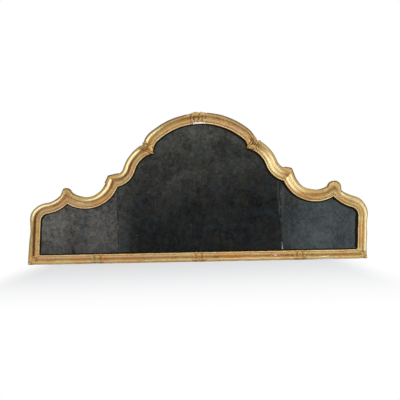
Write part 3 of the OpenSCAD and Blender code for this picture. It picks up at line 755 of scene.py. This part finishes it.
def pine(name, grain, pale, dark, dusty):
    """Aged bare pine. The grain runs along the axis whose scale is smallest."""
    f = new_finish(name)
    place = f.place()
    fibres = f.noise(f.stretched(place, grain), 120, 6, 0.6, 0.4)
    rings = f.noise(f.stretched(place, grain), 24, 3, 0.5, 1.2)
    saw = f.noise(place, 240, 2)
    colour = f.painted(pale, [
        (f.between(rings, 0.35, 0.65), dark),
        (f.between(fibres, 0.55, 0.75) * 0.5, DARK_FIBRE),
        (f.between(f.noise(place, 8, 4), 0.5, 0.75) * dusty, DUST),
        (f.between(f.spots(place, 16), 0.16, 0.04) * 0.6, STAIN)])
    return f.surface({
        "Base Color": colour,
        "Roughness": 0.72 + 0.2 * fibres,
        "Normal": f.bump(0.6 * fibres + 0.3 * rings + 0.15 * saw, 0.0009, 0.7),
    })


DARK_IRON = (0.055, 0.05, 0.048)
RUST = (0.16, 0.065, 0.03)


def old_iron():
    """Dull hammered iron with patches of rust."""
    f = new_finish("hand_worked_iron")
    place = f.place()
    scale = f.noise(place, 160, 6, 0.7)
    rusty = f.between(f.noise(place, 55, 5, 0.65), 0.5, 0.68)
    return f.surface({
        "Base Color": f.mix(rusty, DARK_IRON, RUST),
        "Metallic": 0.75 - 0.6 * rusty,
        "Roughness": 0.45 + 0.35 * scale,
        "Normal": f.bump(scale, 0.0005, 0.8),
    })


GILDING = gilding()
SIGHT_SHADOW = painted_sight_shadow()
SILVERING = silvering()
BOARD_PINE = pine("board_pine", (1, 1, 0.06), BOARD_PALE, BOARD_DARK, 0.5)
BATTEN_PINE = pine("batten_pine", (0.06, 1, 1), BATTEN_PALE, BATTEN_DARK, 0.35)
IRON = old_iron()


# ---- The moulding's section ----
# What is kept for each point of the section: its part in the torus, its painted highlight, its share of
# the valley's red line of bole and painted shade, of the rosy band and of the painted shade, how bare of
# gilding it is, and how far the painted shadow at the sight edge reaches in over the glass there
LOOKS = ("torus", "shine", "valley", "rosy", "grime", "bare", "creep")


class Section:
    """A closed ring of points, each with its weights on the five lines, its depth and its looks."""

    def __init__(self):
        self.weights = []
        self.depths = []
        self.looks = []

    def add(self, a, b, share, depth, **looks):
        weights = [0.0] * 5
        weights[a] += 1 - share
        weights[b] += share
        self.weights.append(weights)
        self.depths.append(depth)
        self.looks.append([looks.get(name, 0) for name in LOOKS])


def torus_depth(share):
    """Steep from the valley to the crest, and a longer round slope from there to the rim."""
    if share < CREST_SHARE:
        up = math.sin(math.pi / 2 * share / CREST_SHARE)
        return SEAT_DEPTH + (FRAME_DEPTH - SEAT_DEPTH) * up ** FULLNESS
    down = math.cos(math.pi / 2 * (share - CREST_SHARE) / (1 - CREST_SHARE))
    return RIM_DEPTH + (FRAME_DEPTH - RIM_DEPTH) * down ** FULLNESS


def moulding_section():
    """From the sight bead over the band, the valley and the torus, down the outer side, along the back
    and up the rebate, to the strip of painted shadow that lies over the glass at the sight edge."""
    ring = Section()
    # The bead: a painted highlight on its top, and painted shade on its inner lower half towards the
    # glass
    for turn in np.linspace(180, 17, 8):
        up = math.sin(math.radians(turn))
        ring.add(SIGHT, BAND_FOOT, (1 + math.cos(math.radians(turn))) / 2, BEAD_DEPTH + BEAD_R * up,
                 shine=0.36 * up, grime=0.75 * (1 - up) * (turn > 90), rosy=0.2)
    # A little painted shade in the crease at the bead's foot
    ring.add(SIGHT, BAND_FOOT, 1, SEAT_DEPTH - 0.3, grime=0.2)
    # The band: rosy bole, a faint painted highlight on its crown, and the valley's red line near its
    # outer end
    for share in np.linspace(0.05, 0.97, 12):
        rise = 4 * share * (1 - share)
        ring.add(BAND_FOOT, VALLEY_IN, share, SEAT_DEPTH + BAND_CROWN * rise,
                 rosy=rise, shine=0.1 * rise, valley=0.9 * max(0, share - 0.6) / 0.4)
    for share in (0.15, 0.5, 0.9):
        ring.add(VALLEY_IN, VALLEY_OUT, share, SEAT_DEPTH - 0.4, valley=1)
    for share in np.linspace(0, 1, 18):
        ring.add(VALLEY_OUT, EDGE, share, torus_depth(share), torus=1, valley=max(0, 1 - 6.5 * share))
    for depth in SIDE_DEPTHS:
        ring.add(VALLEY_OUT, EDGE, 1, depth, torus=1, bare=0.45 + 0.5 * (1 - depth / SIDE_DEPTHS[0]))
    ring.add(VALLEY_OUT, EDGE, 0.93, BACK_DEPTH, bare=1)
    ring.add(BAND_FOOT, VALLEY_IN, 0.6, BACK_DEPTH, bare=1)
    for depth in (BACK_DEPTH, WALL_DEPTH, GLASS_DEPTH + GLASS_CLEARANCE):
        ring.add(SIGHT, BAND_FOOT, REBATE_W / (2 * BEAD_R), depth, bare=1)
    # A near-black strip of painted shadow over the glass at the sight edge, reaching in by the width
    # given along each moulding
    for creep, lift in ((1, GLASS_CLEARANCE), (0.97, 0.4), (0.5, 0.9), (0.15, 1.6), (0, 3), (0, 5)):
        ring.add(SIGHT, BAND_FOOT, 0, GLASS_DEPTH + lift, grime=1.0, creep=creep / (2 * BEAD_R))
    return ring


# At even steps along each moulding: the painted highlight on its torus, the red line in its valley,
# bole deepened by painted shade, how rosy its band is, how much painted shade in brown its outer slope
# gets and in dark olive its rim, and how far the painted shadow at the sight edge reaches in over the
# glass, in millimetres. Where valley, band and slope are below 0 they get a painted highlight instead.
ALONG = {
    "left_stile": dict(
        shine=(0.15, 0.2, 0, 0, 0.2), valley=(0.9, 1, 1, 0.9), rosy=(0.3, 0.5, 0.3),
        slope=(0.5, 0.8), rim=(0.8, 0.6), creep=(5, 6, 6)),
    "left_shoulder": dict(
        shine=(0.4, 0.75, 0.55, 0.6, 0.3), valley=(0.9, 0.45, 0.2, 0.3, 0), rosy=(0.5, 0.9, 0.7),
        slope=(0.8, 1, 1, 0.5), rim=(0.4, 0.5, 0.7, 1.7), creep=(7, 7, 4, 4, 5)),
    "left_hollow": dict(
        shine=(0.1, 0.3, 0.55, 1.0, 0.8), valley=(-0.3, -0.6, -0.3, 0.5, 0.7), rosy=(0.9, 0.6, 0.3),
        slope=(0.5, 1, 0.9, 0.8, 0.6), rim=(1.7, 0.7, 0.6, 1.5), creep=(5, 4, 4, 5)),
    "left_haunch": dict(
        shine=(0, 0.55, 0.9, 0.85, 0.1), valley=(0.2, 0.7, 0.75, 0.5, 0.3), rosy=(0.6, 0.7, 0.3),
        slope=(1.3, 0.8, 0.9, 1.2), rim=(1.7, 0.8, 0.8, 0.8), creep=(5, 6, 7)),
    "left_arch": dict(
        shine=(0.95, 0.6, 0.12, 0, 0), valley=(0, -0.2, -0.3, -0.1, -0.5), rosy=(0.3, 0.6, 0.4),
        slope=(1.2, 2, 3, 3.5, 2.4), rim=(0.8, 1, 1.1), creep=(7, 6, 6, 5)),
    "right_arch": dict(
        shine=(0, 0, 0, 0.1, 0.1), valley=(-0.4, -0.5, -0.5, -0.5, -0.5), rosy=(0.5, 0.7, 0.4),
        slope=(3, 3.5, 4, 3, 2.5), rim=(1.1, 1.1, 0.6), creep=(5, 6, 8, 9, 8)),
    "right_haunch": dict(
        shine=(0, 0.3, 0.95, 0.75, 0.1), valley=(0.1, -0.5, -0.75, -0.65, -0.2),
        rosy=(0.3, -0.6, -0.7, 0.1), slope=(1.6, 1, 0.9, 1), rim=(0.6, 0.5, 0.6, 1.6),
        creep=(8, 9, 9, 8)),
    "right_hollow": dict(
        shine=(1, 1, 0.35, 0, 0), valley=(-0.8, -0.7, -0.35, -0.1, 0.1),
        rosy=(-0.8, -0.5, 0.3, 0.4, 0.4), slope=(1.2, 0.5, 1, 0.3), rim=(1.4, 0.6, 0.7, 1.7),
        creep=(12, 9, 6, 6, 7)),
    "right_shoulder": dict(
        shine=(0, 0.75, 0.5, 0.65, 0.9), valley=(-0.3, -0.5, -0.3, -0.4, -0.3), rosy=(0.4, 0.3),
        slope=(0.4, 0.9, 0.8, 0.7), rim=(1.7, 0.6, 0.5), creep=(13, 8, 8, 10, 10)),
    "right_stile": dict(
        shine=(0.8, 0.7, 0.75, 0.7, 0.6), valley=(0.15, 0.1, 0.15), rosy=(-0.4, -0.4, -0.2),
        slope=(0.8, 0.8), rim=(0.4, 0.5), creep=(12, 13, 11)),
    "bottom_rail": dict(
        shine=(0.2, 0.3, 0.2, 0.25), valley=(0.4, 0.3, -0.1, -0.2, -0.3), rosy=(0.3, 0.5, 0.7, 0.8),
        slope=(-0.8, -0.6, -0.8), rim=(0.1, 0.25, 0.1), creep=(5, 7, 7, 4)),
}
# How far out on the torus its painted highlight lies, as a share of its width, on the left and elsewhere
SHINE_PLACE = (0.33, 0.2)
# Over what width the painted highlight and the painted shade of the rim and of the slope fade out, in
# millimetres and for the slope also as a share of the torus
SHINE_SPREAD = 5.5
RIM_SPREAD = 6
SLOPE_SPREAD = 5
SLOPE_SHARE = 0.18
# The outer side is smooth up to this depth, and the hand's cut is in full this much nearer the front
SMOOTH_DEPTH = 22
SMOOTH_RISE = 10


def even_steps(values, share):
    return np.interp(share, np.linspace(0, 1, len(values)), values)


# Losses of leaf that show white gesso: a place, its spread, how strong, and on which line it lies
LOSSES = [(8 + 616j, 12, 1.0, SIGHT), (-12 + 616j, 8, 0.9, SIGHT), (26 + 616j, 9, 0.95, SIGHT),
          (46 + 616j, 9, 0.95, SIGHT), (61 + 615j, 6, 0.75, SIGHT), (-40 + 614j, 6, 0.55, SIGHT),
          (118 + 597j, 5, 0.6, SIGHT), (-455 + 2j, 14, 0.6, EDGE), (-400 + 41j, 20, 0.5, SIGHT),
          (260 + 41j, 26, 0.5, SIGHT), (560 + 40j, 22, 0.5, SIGHT), (-200 + 1j, 20, 0.45, EDGE),
          (332 + 21j, 8, 0.66, VALLEY_IN), (350 + 21j, 9, 0.7, VALLEY_IN),
          (368 + 21j, 7, 0.62, VALLEY_IN), (-30 + 21j, 8, 0.5, VALLEY_IN)]


def losses_at(lines):
    """How much of the leaf is lost at each station, for each of the five lines."""
    lost = np.zeros(lines.shape)
    for place, spread, amount, line in LOSSES:
        near = amount * np.exp(-abs(lines[:, line] - place) ** 2 / (2 * spread ** 2))
        lost[:, line] = np.maximum(lost[:, line], near)
    return lost


SECTION = moulding_section()
# How far each moulding draws back from its joints
JOINT_GAP = 0.15


def member_lines(index):
    """The five lines along one moulding, drawn back a little from its joints."""
    rows = np.arange(STARTS[index], STARTS[index + 1] + 1) % len(LINES)
    lines = LINES[rows].copy()
    for end, inner in ((0, 1), (-1, -2)):
        way = lines[inner] - lines[end]
        lines[end] += JOINT_GAP * way / np.maximum(abs(way), JOINT_GAP)
    return lines


def lay_sight_shadow(piece, rows, grime):
    """The strip of painted shadow at the sight edge gets its own finish."""
    piece.data.materials.append(SIGHT_SHADOW)
    for i in range(rows - 1):
        for j in np.flatnonzero(grime > 0.9):
            piece.data.polygons[i * len(grime) + int(j)].material_index = 1


def make_member(index):
    """One gilded moulding, with the wear, painted highlight and painted shade that its finish reads."""
    lines = member_lines(index)
    weights = np.array(SECTION.weights).T
    depths = np.array(SECTION.depths)
    torus, shine, valley, rosy, grime, bare, creep = np.array(SECTION.looks).T
    middle = (lines[:, SIGHT] + lines[:, EDGE]) / 2
    run = run_along(middle)[:, None]
    here = {look: even_steps(values, run / run[-1]) for look, values in ALONG[MEMBERS[index]].items()}
    pale = {look: np.maximum(-values, 0) for look, values in here.items()}
    deep = {look: np.maximum(values, 0) for look, values in here.items()}
    inwards = (lines[:, SIGHT] - lines[:, BAND_FOOT])[:, None]
    places = lines @ weights + creep * here["creep"] * inwards
    front = np.clip((depths - SMOOTH_DEPTH) / SMOOTH_RISE, 0, 1)
    cut = 0.35 * waver(places, 9) + 0.25 * waver(places, 24, 1.7)
    piece = make_piece(MEMBERS[index] + "_gilded", to_world(places, depths + cut * front),
                       ring_faces(*places.shape), GILDING)
    from_valley = abs(places - lines[:, VALLEY_OUT, None])
    from_edge = abs(places - lines[:, EDGE, None])
    torus_w = abs(lines[:, EDGE, None] - lines[:, VALLEY_OUT, None])
    shine_place = SHINE_PLACE[not MEMBERS[index].startswith("left")] * torus_w
    crest = torus * np.exp(-((from_valley - shine_place) / SHINE_SPREAD) ** 2)
    outer = torus * np.exp(-(from_edge / (SLOPE_SHARE * torus_w + SLOPE_SPREAD)) ** 2)
    looks = {
        "along": (STARTS[index] * STEP + run) * MM,
        "across": abs(places - lines[:, SIGHT, None]) * MM,
        # Painted highlight: the bead's and band's own, the torus crest's, and where valley, slope or
        # band are below 0 along the moulding
        "shine": (shine + here["shine"] * crest + 0.6 * valley * pale["valley"]
                  + 0.5 * outer * pale["slope"] + 0.5 * rosy * pale["rosy"]),
        # Painted shade: the valley's red line in part, brown on the outer slope, dark olive at the rim,
        # and near black at the sight edge and under the bead
        "valley": valley * deep["valley"],
        "rosy": rosy * deep["rosy"],
        "slope": outer * deep["slope"],
        "rim": torus * here["rim"] * np.exp(-(from_edge / RIM_SPREAD) ** 2),
        "grime": grime,
        "bare": bare,
        "loss": losses_at(lines) @ np.maximum(weights, 0) * front,
    }
    give(piece, looks, places.shape)
    lay_sight_shadow(piece, len(lines), grime)
    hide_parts(MEMBERS[index])


for number in range(len(MEMBERS)):
    make_member(number)


# ---- The carving: leaves that wrap the moulding from the sight edge over the torus ----
CARVED_ROWS = 73
CARVED_COLUMNS = 65
# How far a carving stands off the moulding, and how deep its body goes
CARVING_LIFT = 0.9
CARVING_T = 4
# A carving is drawn over the stations up to this many before and after its middle, and it follows
# the section of a moulding of the usual width, with its hollows filled by a few smoothings
CARVING_REACH = 90
USUAL_W = 50
SMOOTHINGS = 4


def wrap(count):
    """The front of the section, from the sight edge round to the outer side, at equal steps and
    with its valley half filled: weights, depths, direction outwards and share of the way."""
    over_edge = [-2, -1]
    rows = over_edge + list(range(SECTION.depths.index(SMOOTH_DEPTH) + 1))
    weights = np.array(SECTION.weights)[rows]
    depths = np.array(SECTION.depths)[rows]
    out = weights @ np.array([distance(line, USUAL_W) for line in range(5)])
    run = run_along(out + 1j * depths)
    wanted = np.linspace(0, run[-1], count)
    section = np.stack([np.interp(wanted, run, column) for column in [out, depths, *weights.T]])
    for _ in range(SMOOTHINGS):
        section[:, 1:-1] = (section[:, :-2] + section[:, 1:-1] + section[:, 2:]) / 3
    way = np.gradient(section[0]) + 1j * np.gradient(section[1])
    return section[2:], section[1] + CARVING_LIFT, 1j * way / abs(way), wanted / run[-1]


class Patch:
    """A grid of points that wraps the moulding, carved in relief, and a buried one under it.
    outline gives half its length at each share of the way out, and relief its height at (share of
    half length, share of the way out)."""

    def __init__(self, centre, outline, relief):
        middle = (LINES[:, SIGHT] + LINES[:, EDGE]) / 2
        at = int(np.argmin(abs(middle - centre)))
        rows = np.arange(at - CARVING_REACH, at + CARVING_REACH + 1) % len(LINES)
        run = run_along(middle[rows])
        run -= run[CARVING_REACH]
        weights, depth, normal, out = wrap(CARVED_COLUMNS)
        side = np.linspace(-1, 1, CARVED_ROWS)[:, None]
        self.side = side + 0 * out
        self.out = out + 0 * side
        self.along = side * outline(out)
        lines = [points_at(self.along, run, line) for line in LINES[rows].T]
        foot = sum(line * weight for line, weight in zip(lines, weights))
        outwards = lines[EDGE] - lines[SIGHT]
        outwards /= abs(outwards)
        self.across = abs(foot - lines[SIGHT])
        self.height = relief(side, out)
        self.top, self.bottom = (
            to_world(foot + lift * normal.real * outwards, depth + lift * normal.imag)
            for lift in (self.height, 0 * self.height - CARVING_T))


def pillow(top, bottom):
    """Points and faces of a closed piece between two grids of points."""
    rows, columns = top.shape[:2]
    count = rows * columns
    faces = []
    for i in range(rows - 1):
        for j in range(columns - 1):
            a = i * columns + j
            quad = (a, a + 1, a + columns + 1, a + columns)
            faces.append(quad)
            faces.append(tuple(count + corner for corner in reversed(quad)))
    rim = ([j for j in range(columns)] + [i * columns + columns - 1 for i in range(1, rows)]
           + [(rows - 1) * columns + j for j in range(columns - 2, -1, -1)]
           + [i * columns for i in range(rows - 2, 0, -1)])
    for a, b in zip(rim, rim[1:] + rim[:1]):
        faces.append((b, a, count + a, count + b))
    return np.concatenate([top.reshape(-1, 3), bottom.reshape(-1, 3)]), faces


def unchipped(side, out):
    return 0 * side * out


def make_carving(name, node, patches, shine, rosy, shade_and_dirt, red, brown=0, chipped=unchipped):
    """One piece from one or more patches, with a painted highlight on its ridges and painted shade with
    grime, dark and red, in its folds. brown says how much painted shade in brown its outer half gets,
    and chipped how much leaf is lost at (share of half length, share of the way out)."""
    points = []
    faces = []
    values = []
    for patch in patches:
        patch_points, patch_faces = pillow(patch.top, patch.bottom)
        start = sum(len(p) for p in points)
        points.append(patch_points)
        faces += [tuple(start + corner for corner in face) for face in patch_faces]
        ridge = prominence(patch.height)
        lost = chipped(patch.side, patch.out)
        outer = np.clip(3 * patch.out - 1, 0, 1)
        for part in (ridge, 0 * ridge):
            grids = (part, patch.along * MM, patch.across * MM, lost, outer)
            values.append([grid.ravel() for grid in grids])
    ridge, along, across, lost, outer = np.concatenate(values, axis=1)
    piece = make_piece(name, np.concatenate(points), faces, GILDING, sharp=60)
    looks = {
        "along": along,
        "across": across,
        # Painted highlight on ridges; painted shade with grime in folds; painted shade in brown on the
        # outer half
        "shine": shine * np.clip(ridge, 0, 1),
        "grime": shade_and_dirt * np.clip(-ridge, 0, 1),
        "rosy": rosy * (1 - abs(ridge)) * (1 - outer * brown),
        "slope": brown * outer,
        "valley": red * np.clip(0.35 - ridge, 0, 1),
        "loss": lost,
    }
    give(piece, looks, ridge.shape)
    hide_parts(node)


# A spot is compared with its surroundings levelled by this many passes, and it counts as a full
# ridge at this height over them
LEVELLINGS = 30
FULL_RIDGE = 0.5


def prominence(height):
    """How far each spot stands above its surroundings, from -1 in a fold to 1 on a ridge."""
    level = height
    for _ in range(LEVELLINGS):
        level = np.pad(level, 1, mode="edge")
        level = (level[:-2, 1:-1] + level[2:, 1:-1] + level[1:-1, :-2] + level[1:-1, 2:]) / 4
    return np.clip((height - level) / FULL_RIDGE, -1, 1)


# Height of a leaf's rim, just under the moulding's own surface
BURIED = -1.2


def fold(value, sharpness):
    """Rounded ridges with narrow valleys between them, from 0 to 1."""
    return abs(np.cos(value)) ** sharpness


def bump(value, centre, spread):
    return np.exp(-((value - centre) / spread) ** 2)


def plateau(value, centre, spread):
    return np.exp(-((value - centre) / spread) ** 4)


def rim_of(side, fullness):
    """1 over a leaf and down to 0 at its two ends."""
    return np.clip(1 - side ** 2, 0, 1) ** fullness


def crest_outline(out):
    return 40 + 7 * out + 1.5 * np.sin(9 * out)


def crest_relief(side, out):
    """Two leaf lobes that curl over the outer edge, the left one wider, over a ribbed base."""
    left = plateau(side, -0.13, 0.32) * plateau(out, 0.86, 0.24)
    right = plateau(side, 0.46, 0.2) * plateau(out, 0.84, 0.22)
    parting = bump(side, 0.21, 0.06) * bump(out, 0.75, 0.3)
    eyes = bump(out, 0.6, 0.05) * (bump(side, -0.13, 0.3) + bump(side, 0.46, 0.2))
    cut = bump(side, 0.55, 0.05) * bump(out, 0.36, 0.2)
    bend = 0.5 * np.sin(7 * out + 3 * side) + 0.35 * np.sin(13 * out - 5 * side)
    ribs = fold(2.6 * math.pi * side + 0.8 + bend, 1.6) * bump(out, 0.4, 0.28)
    curl = fold(3.6 * math.pi * side + 1.6 * np.sin(6 * out), 2) * (left + right)
    return rim_of(side, 0.5) * (1.6 + 3.4 * left + 2.8 * right + 2.0 * curl + 2.4 * ribs
                                - 2.4 * parting - 1.8 * eyes - 2.4 * cut) + BURIED


def crest_chips(side, out):
    """White gesso along the sight edge, under both lobes."""
    ragged = 0.78 + 0.14 * np.sin(23 * side) + 0.1 * np.sin(41 * side)
    return plateau(side, 0.2, 0.85) * bump(out, 0.06, 0.17 - 0.05 * side) * ragged


def clasp_outline(out):
    return 27 + 6 * np.sin(math.pi * np.clip(out, 0, 1)) + 4 * np.sin(9 * out)


def clasp_relief(side, out):
    """A leaf folded across the moulding, with slanting folds and two knuckles on the torus."""
    bend = 0.3 * np.sin(6 * side + 5 * out) + 0.2 * np.sin(11 * out - 4 * side)
    veins = fold(math.pi * (1.6 * side + 1.3 * out + bend), 2)
    knuckles = (bump(side, 0.36, 0.2) * bump(out, 0.82, 0.16)
                + 0.9 * bump(side, -0.42, 0.17) * bump(out, 0.86, 0.15)
                + 0.7 * bump(side, 0.1, 0.13) * bump(out, 0.5, 0.1))
    notch = bump(side, -0.05, 0.1) * bump(out, 0.78, 0.2)
    tip = bump(side, -0.1, 0.35) * bump(out, 0.16, 0.12)
    return rim_of(side, 0.6) * (1 + 3.4 * veins + 3.8 * knuckles - 2.4 * notch + 1.8 * tip) + BURIED


def clasp_chips(side, out):
    """A few cream spots on the knuckles and the tip."""
    return 0.46 * (bump(side, 0.36, 0.14) * bump(out, 0.6, 0.08)
                   + bump(side, -0.45, 0.12) * bump(out, 0.45, 0.08)
                   + 0.8 * bump(side, -0.1, 0.2) * bump(out, 0.2, 0.07))


def rail_leaf_outline(out):
    return 27 + 8 * np.sin(math.pi * np.clip(1.1 * out - 0.05, 0, 1)) + 2.5 * np.sin(11 * out)


def rail_leaf_relief(side, out):
    """Two low worn leaves back to back round an oval boss."""
    from_boss = np.hypot(side / 0.36, (out - 0.52) / 0.34)
    boss = plateau(from_boss, 0, 1)
    ring = bump(from_boss, 1.25, 0.2)
    veins = fold(math.pi * (1.6 * abs(side) - 1.3 * abs(out - 0.5)), 0.8)
    return rim_of(side, 0.8) * (1 + 2.1 * veins * (1 - boss) + 1.9 * boss - 1.5 * ring) + BURIED


def rail_leaf_chips(side, out):
    return 0.42 * bump(side, 0.12, 0.5) * bump(out, 0.3, 0.14) * (0.6 + 0.4 * np.sin(17 * side))


def corner_outline(out):
    return 9 + 10 * np.sin(math.pi * np.clip(0.15 + 0.8 * out, 0, 1)) + 1.5 * np.sin(15 * out)


def corner_relief(side, out):
    rib = bump(side, 0, 0.25)
    veins = fold(math.pi * (2.4 * out - 0.9 * abs(side)), 0.7)
    return rim_of(side, 0.7) * (1.1 + 3 * veins + 1.4 * rib) + BURIED


# Middle of the row of rail leaves, the distance between them, and middle of the crest
RAIL_LEAF_X = 8
RAIL_LEAF_PITCH = 451
CREST_X = 14


def carve_crest():
    spot = complex(CREST_X, CROWN[0].imag + ARCH_W / 2)
    make_carving("crest_cartouche", "crest_leaf", [Patch(spot, crest_outline, crest_relief)],
                 shine=0.17, rosy=1.2, shade_and_dirt=0.42, red=0.65, brown=0.5, chipped=crest_chips)


def carve_clasps():
    for s, side_name in enumerate(("left", "right")):
        spot = CLASP[s] + ARCH_W / 2 * turned(HALVES[s].mitres[AT_CLASP])
        spot = mirrored(spot) if s else spot
        make_carving(side_name + "_clasp_leaf", side_name + "_clasp",
                     [Patch(spot, clasp_outline, clasp_relief)],
                     shine=0.2, rosy=0.3, shade_and_dirt=0.36, red=0.7, brown=0.5, chipped=clasp_chips)


def carve_rail_leaves():
    spots = [complex(RAIL_LEAF_X + k * RAIL_LEAF_PITCH, BOTTOM_W / 2) for k in (-1, 0, 1)]
    make_carving("rail_leaf_clasps", "rail_leaves",
                 [Patch(spot, rail_leaf_outline, rail_leaf_relief) for spot in spots],
                 shine=0.12, rosy=0.25, shade_and_dirt=0.45, red=0.8, brown=0.3, chipped=rail_leaf_chips)


def carve_corner_leaves():
    left, right = ((half.foot + half.corner(EDGE)) / 2 for half in HALVES)
    make_carving("corner_leaf_carvings", "corner_leaves",
                 [Patch(spot, corner_outline, corner_relief) for spot in (left, mirrored(right))],
                 shine=0.35, rosy=0.3, shade_and_dirt=0.5, red=0.4)


carve_crest()
carve_clasps()
carve_rail_leaves()
carve_corner_leaves()


# ---- The plates and the back keep their solids and get their finishes ----
def finish_nodes(names, finish):
    for name in names:
        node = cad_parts[name]
        node.data.materials.clear()
        node.data.materials.append(finish)


finish_nodes(["left_plate", "centre_plate", "right_plate"], SILVERING)
finish_nodes(["glazing_blocks"], BOARD_PINE)
finish_nodes(["hanging_batten", "mitre_keys"], BATTEN_PINE)
finish_nodes(["board_nails", "batten_screws", "strap_screws"], IRON)
for side_name in ("left", "right"):
    finish_nodes([side_name + part for part in ("_wing_board", "_inner_board", "_centre_board",
                                                "_seam_strip")], BOARD_PINE)
    finish_nodes([side_name + "_strap", side_name + "_ring"], IRON)


# ---- The studio ----
WHITE = (1, 1, 1, 1)
FLOOR_SIZE = 4.0
FLOOR_GREY = (0.36, 0.365, 0.375, 1)
FLOOR_PLAIN = (0.8, 0.8, 0.8, 1)
# The floor is white beyond the first of these distances and shows its shadow within the second, on
# either side of the shadow's middle and forward
SHADOW_MIDDLE = -0.02
SHADOW_X = (0.74, 0.58)
SHADOW_Y = (-1.4, -0.3)


def make_floor():
    """A pale floor that is white away from the frame and keeps its shadow."""
    mesh = bpy.data.meshes.new("floor")
    corners = [(x * FLOOR_SIZE, y * FLOOR_SIZE, 0) for x, y in ((-1, -1), (1, -1), (1, 1), (-1, 1))]
    mesh.from_pydata(corners, [], [(0, 1, 2, 3)])
    floor = bpy.data.objects.new("floor", mesh)
    bpy.context.scene.collection.objects.link(floor)
    f = new_finish("pale_floor")
    place = f.place()
    aside = abs(f.axis(place, "X") - SHADOW_MIDDLE)
    away = 1 - f.between(f.axis(place, "Y"), *SHADOW_Y) * f.between(aside, *SHADOW_X)
    lit = f.node("ShaderNodeBsdfDiffuse", inputs={"Color": FLOOR_GREY})
    glow = f.node("ShaderNodeEmission", inputs={"Color": WHITE, "Strength": 0.36})
    shaded = f.node("ShaderNodeAddShader", inputs={0: lit, 1: glow})
    white = f.node("ShaderNodeEmission", inputs={"Color": WHITE, "Strength": 1.0})
    shown = f.node("ShaderNodeMixShader", inputs={0: away, 1: shaded, 2: white})
    plain = f.node("ShaderNodeBsdfDiffuse", inputs={"Color": FLOOR_PLAIN})
    surface = f.node("ShaderNodeMixShader", inputs={0: f.seen(), 1: plain, 2: shown})
    f.node("ShaderNodeOutputMaterial", inputs={"Surface": surface})
    mesh.materials.append(f.owner)


def make_world():
    """Even light for the object, and white for what is seen past it or in it."""
    world = bpy.data.worlds.new("studio")
    bpy.context.scene.world = world
    f = Finish(world)
    soft = f.node("ShaderNodeBackground", inputs={"Color": WHITE, "Strength": 0.45})
    white = f.node("ShaderNodeBackground", inputs={"Color": WHITE, "Strength": 1.0})
    surface = f.node("ShaderNodeMixShader", inputs={0: f.seen(), 1: soft, 2: white})
    f.node("ShaderNodeOutputWorld", inputs={"Surface": surface})


LAMP_AIM = (0, 0, 0.3)


def make_softbox(name, place, power, size):
    """A square area lamp that faces the middle of the frame."""
    data = bpy.data.lights.new(name, "AREA")
    data.energy = power
    data.size = size
    lamp = bpy.data.objects.new(name, data)
    lamp.location = place
    x, y, z = np.subtract(place, LAMP_AIM)
    lamp.rotation_euler = (math.atan2(math.hypot(x, y), z), 0, math.atan2(x, -y))
    bpy.context.scene.collection.objects.link(lamp)


# Width of the photograph and real size of its pixels at the frame's front, and where the camera
# stands, in metres and degrees
IMAGE_WIDTH = 400
MM_PER_PIXEL = 4.4366
CAMERA_AWAY = 3.0
CAMERA_X = 0.0186
CAMERA_Z = 0.2742
CAMERA_ROLL = 1.12
SENSOR_W = 36


def make_camera():
    data = bpy.data.cameras.new("camera")
    data.sensor_width = SENSOR_W
    data.lens = SENSOR_W * CAMERA_AWAY / (IMAGE_WIDTH * MM_PER_PIXEL * MM)
    camera = bpy.data.objects.new("camera", data)
    camera.location = (CAMERA_X, -CAMERA_AWAY - FRAME_DEPTH / 2 * MM, CAMERA_Z)
    camera.rotation_euler = (math.radians(90), math.radians(CAMERA_ROLL), 0)
    bpy.context.scene.collection.objects.link(camera)
    bpy.context.scene.camera = camera


make_floor()
make_world()
make_softbox("top_softbox", (0.3, -1.0, 2.6), 45, 1.6)
make_softbox("right_softbox", (2.4, -1.8, 1.4), 34, 1.2)
make_softbox("left_softbox", (-2.4, -1.8, 1.2), 22, 1.2)
make_camera()
bpy.context.scene.view_settings.view_transform = "Standard"
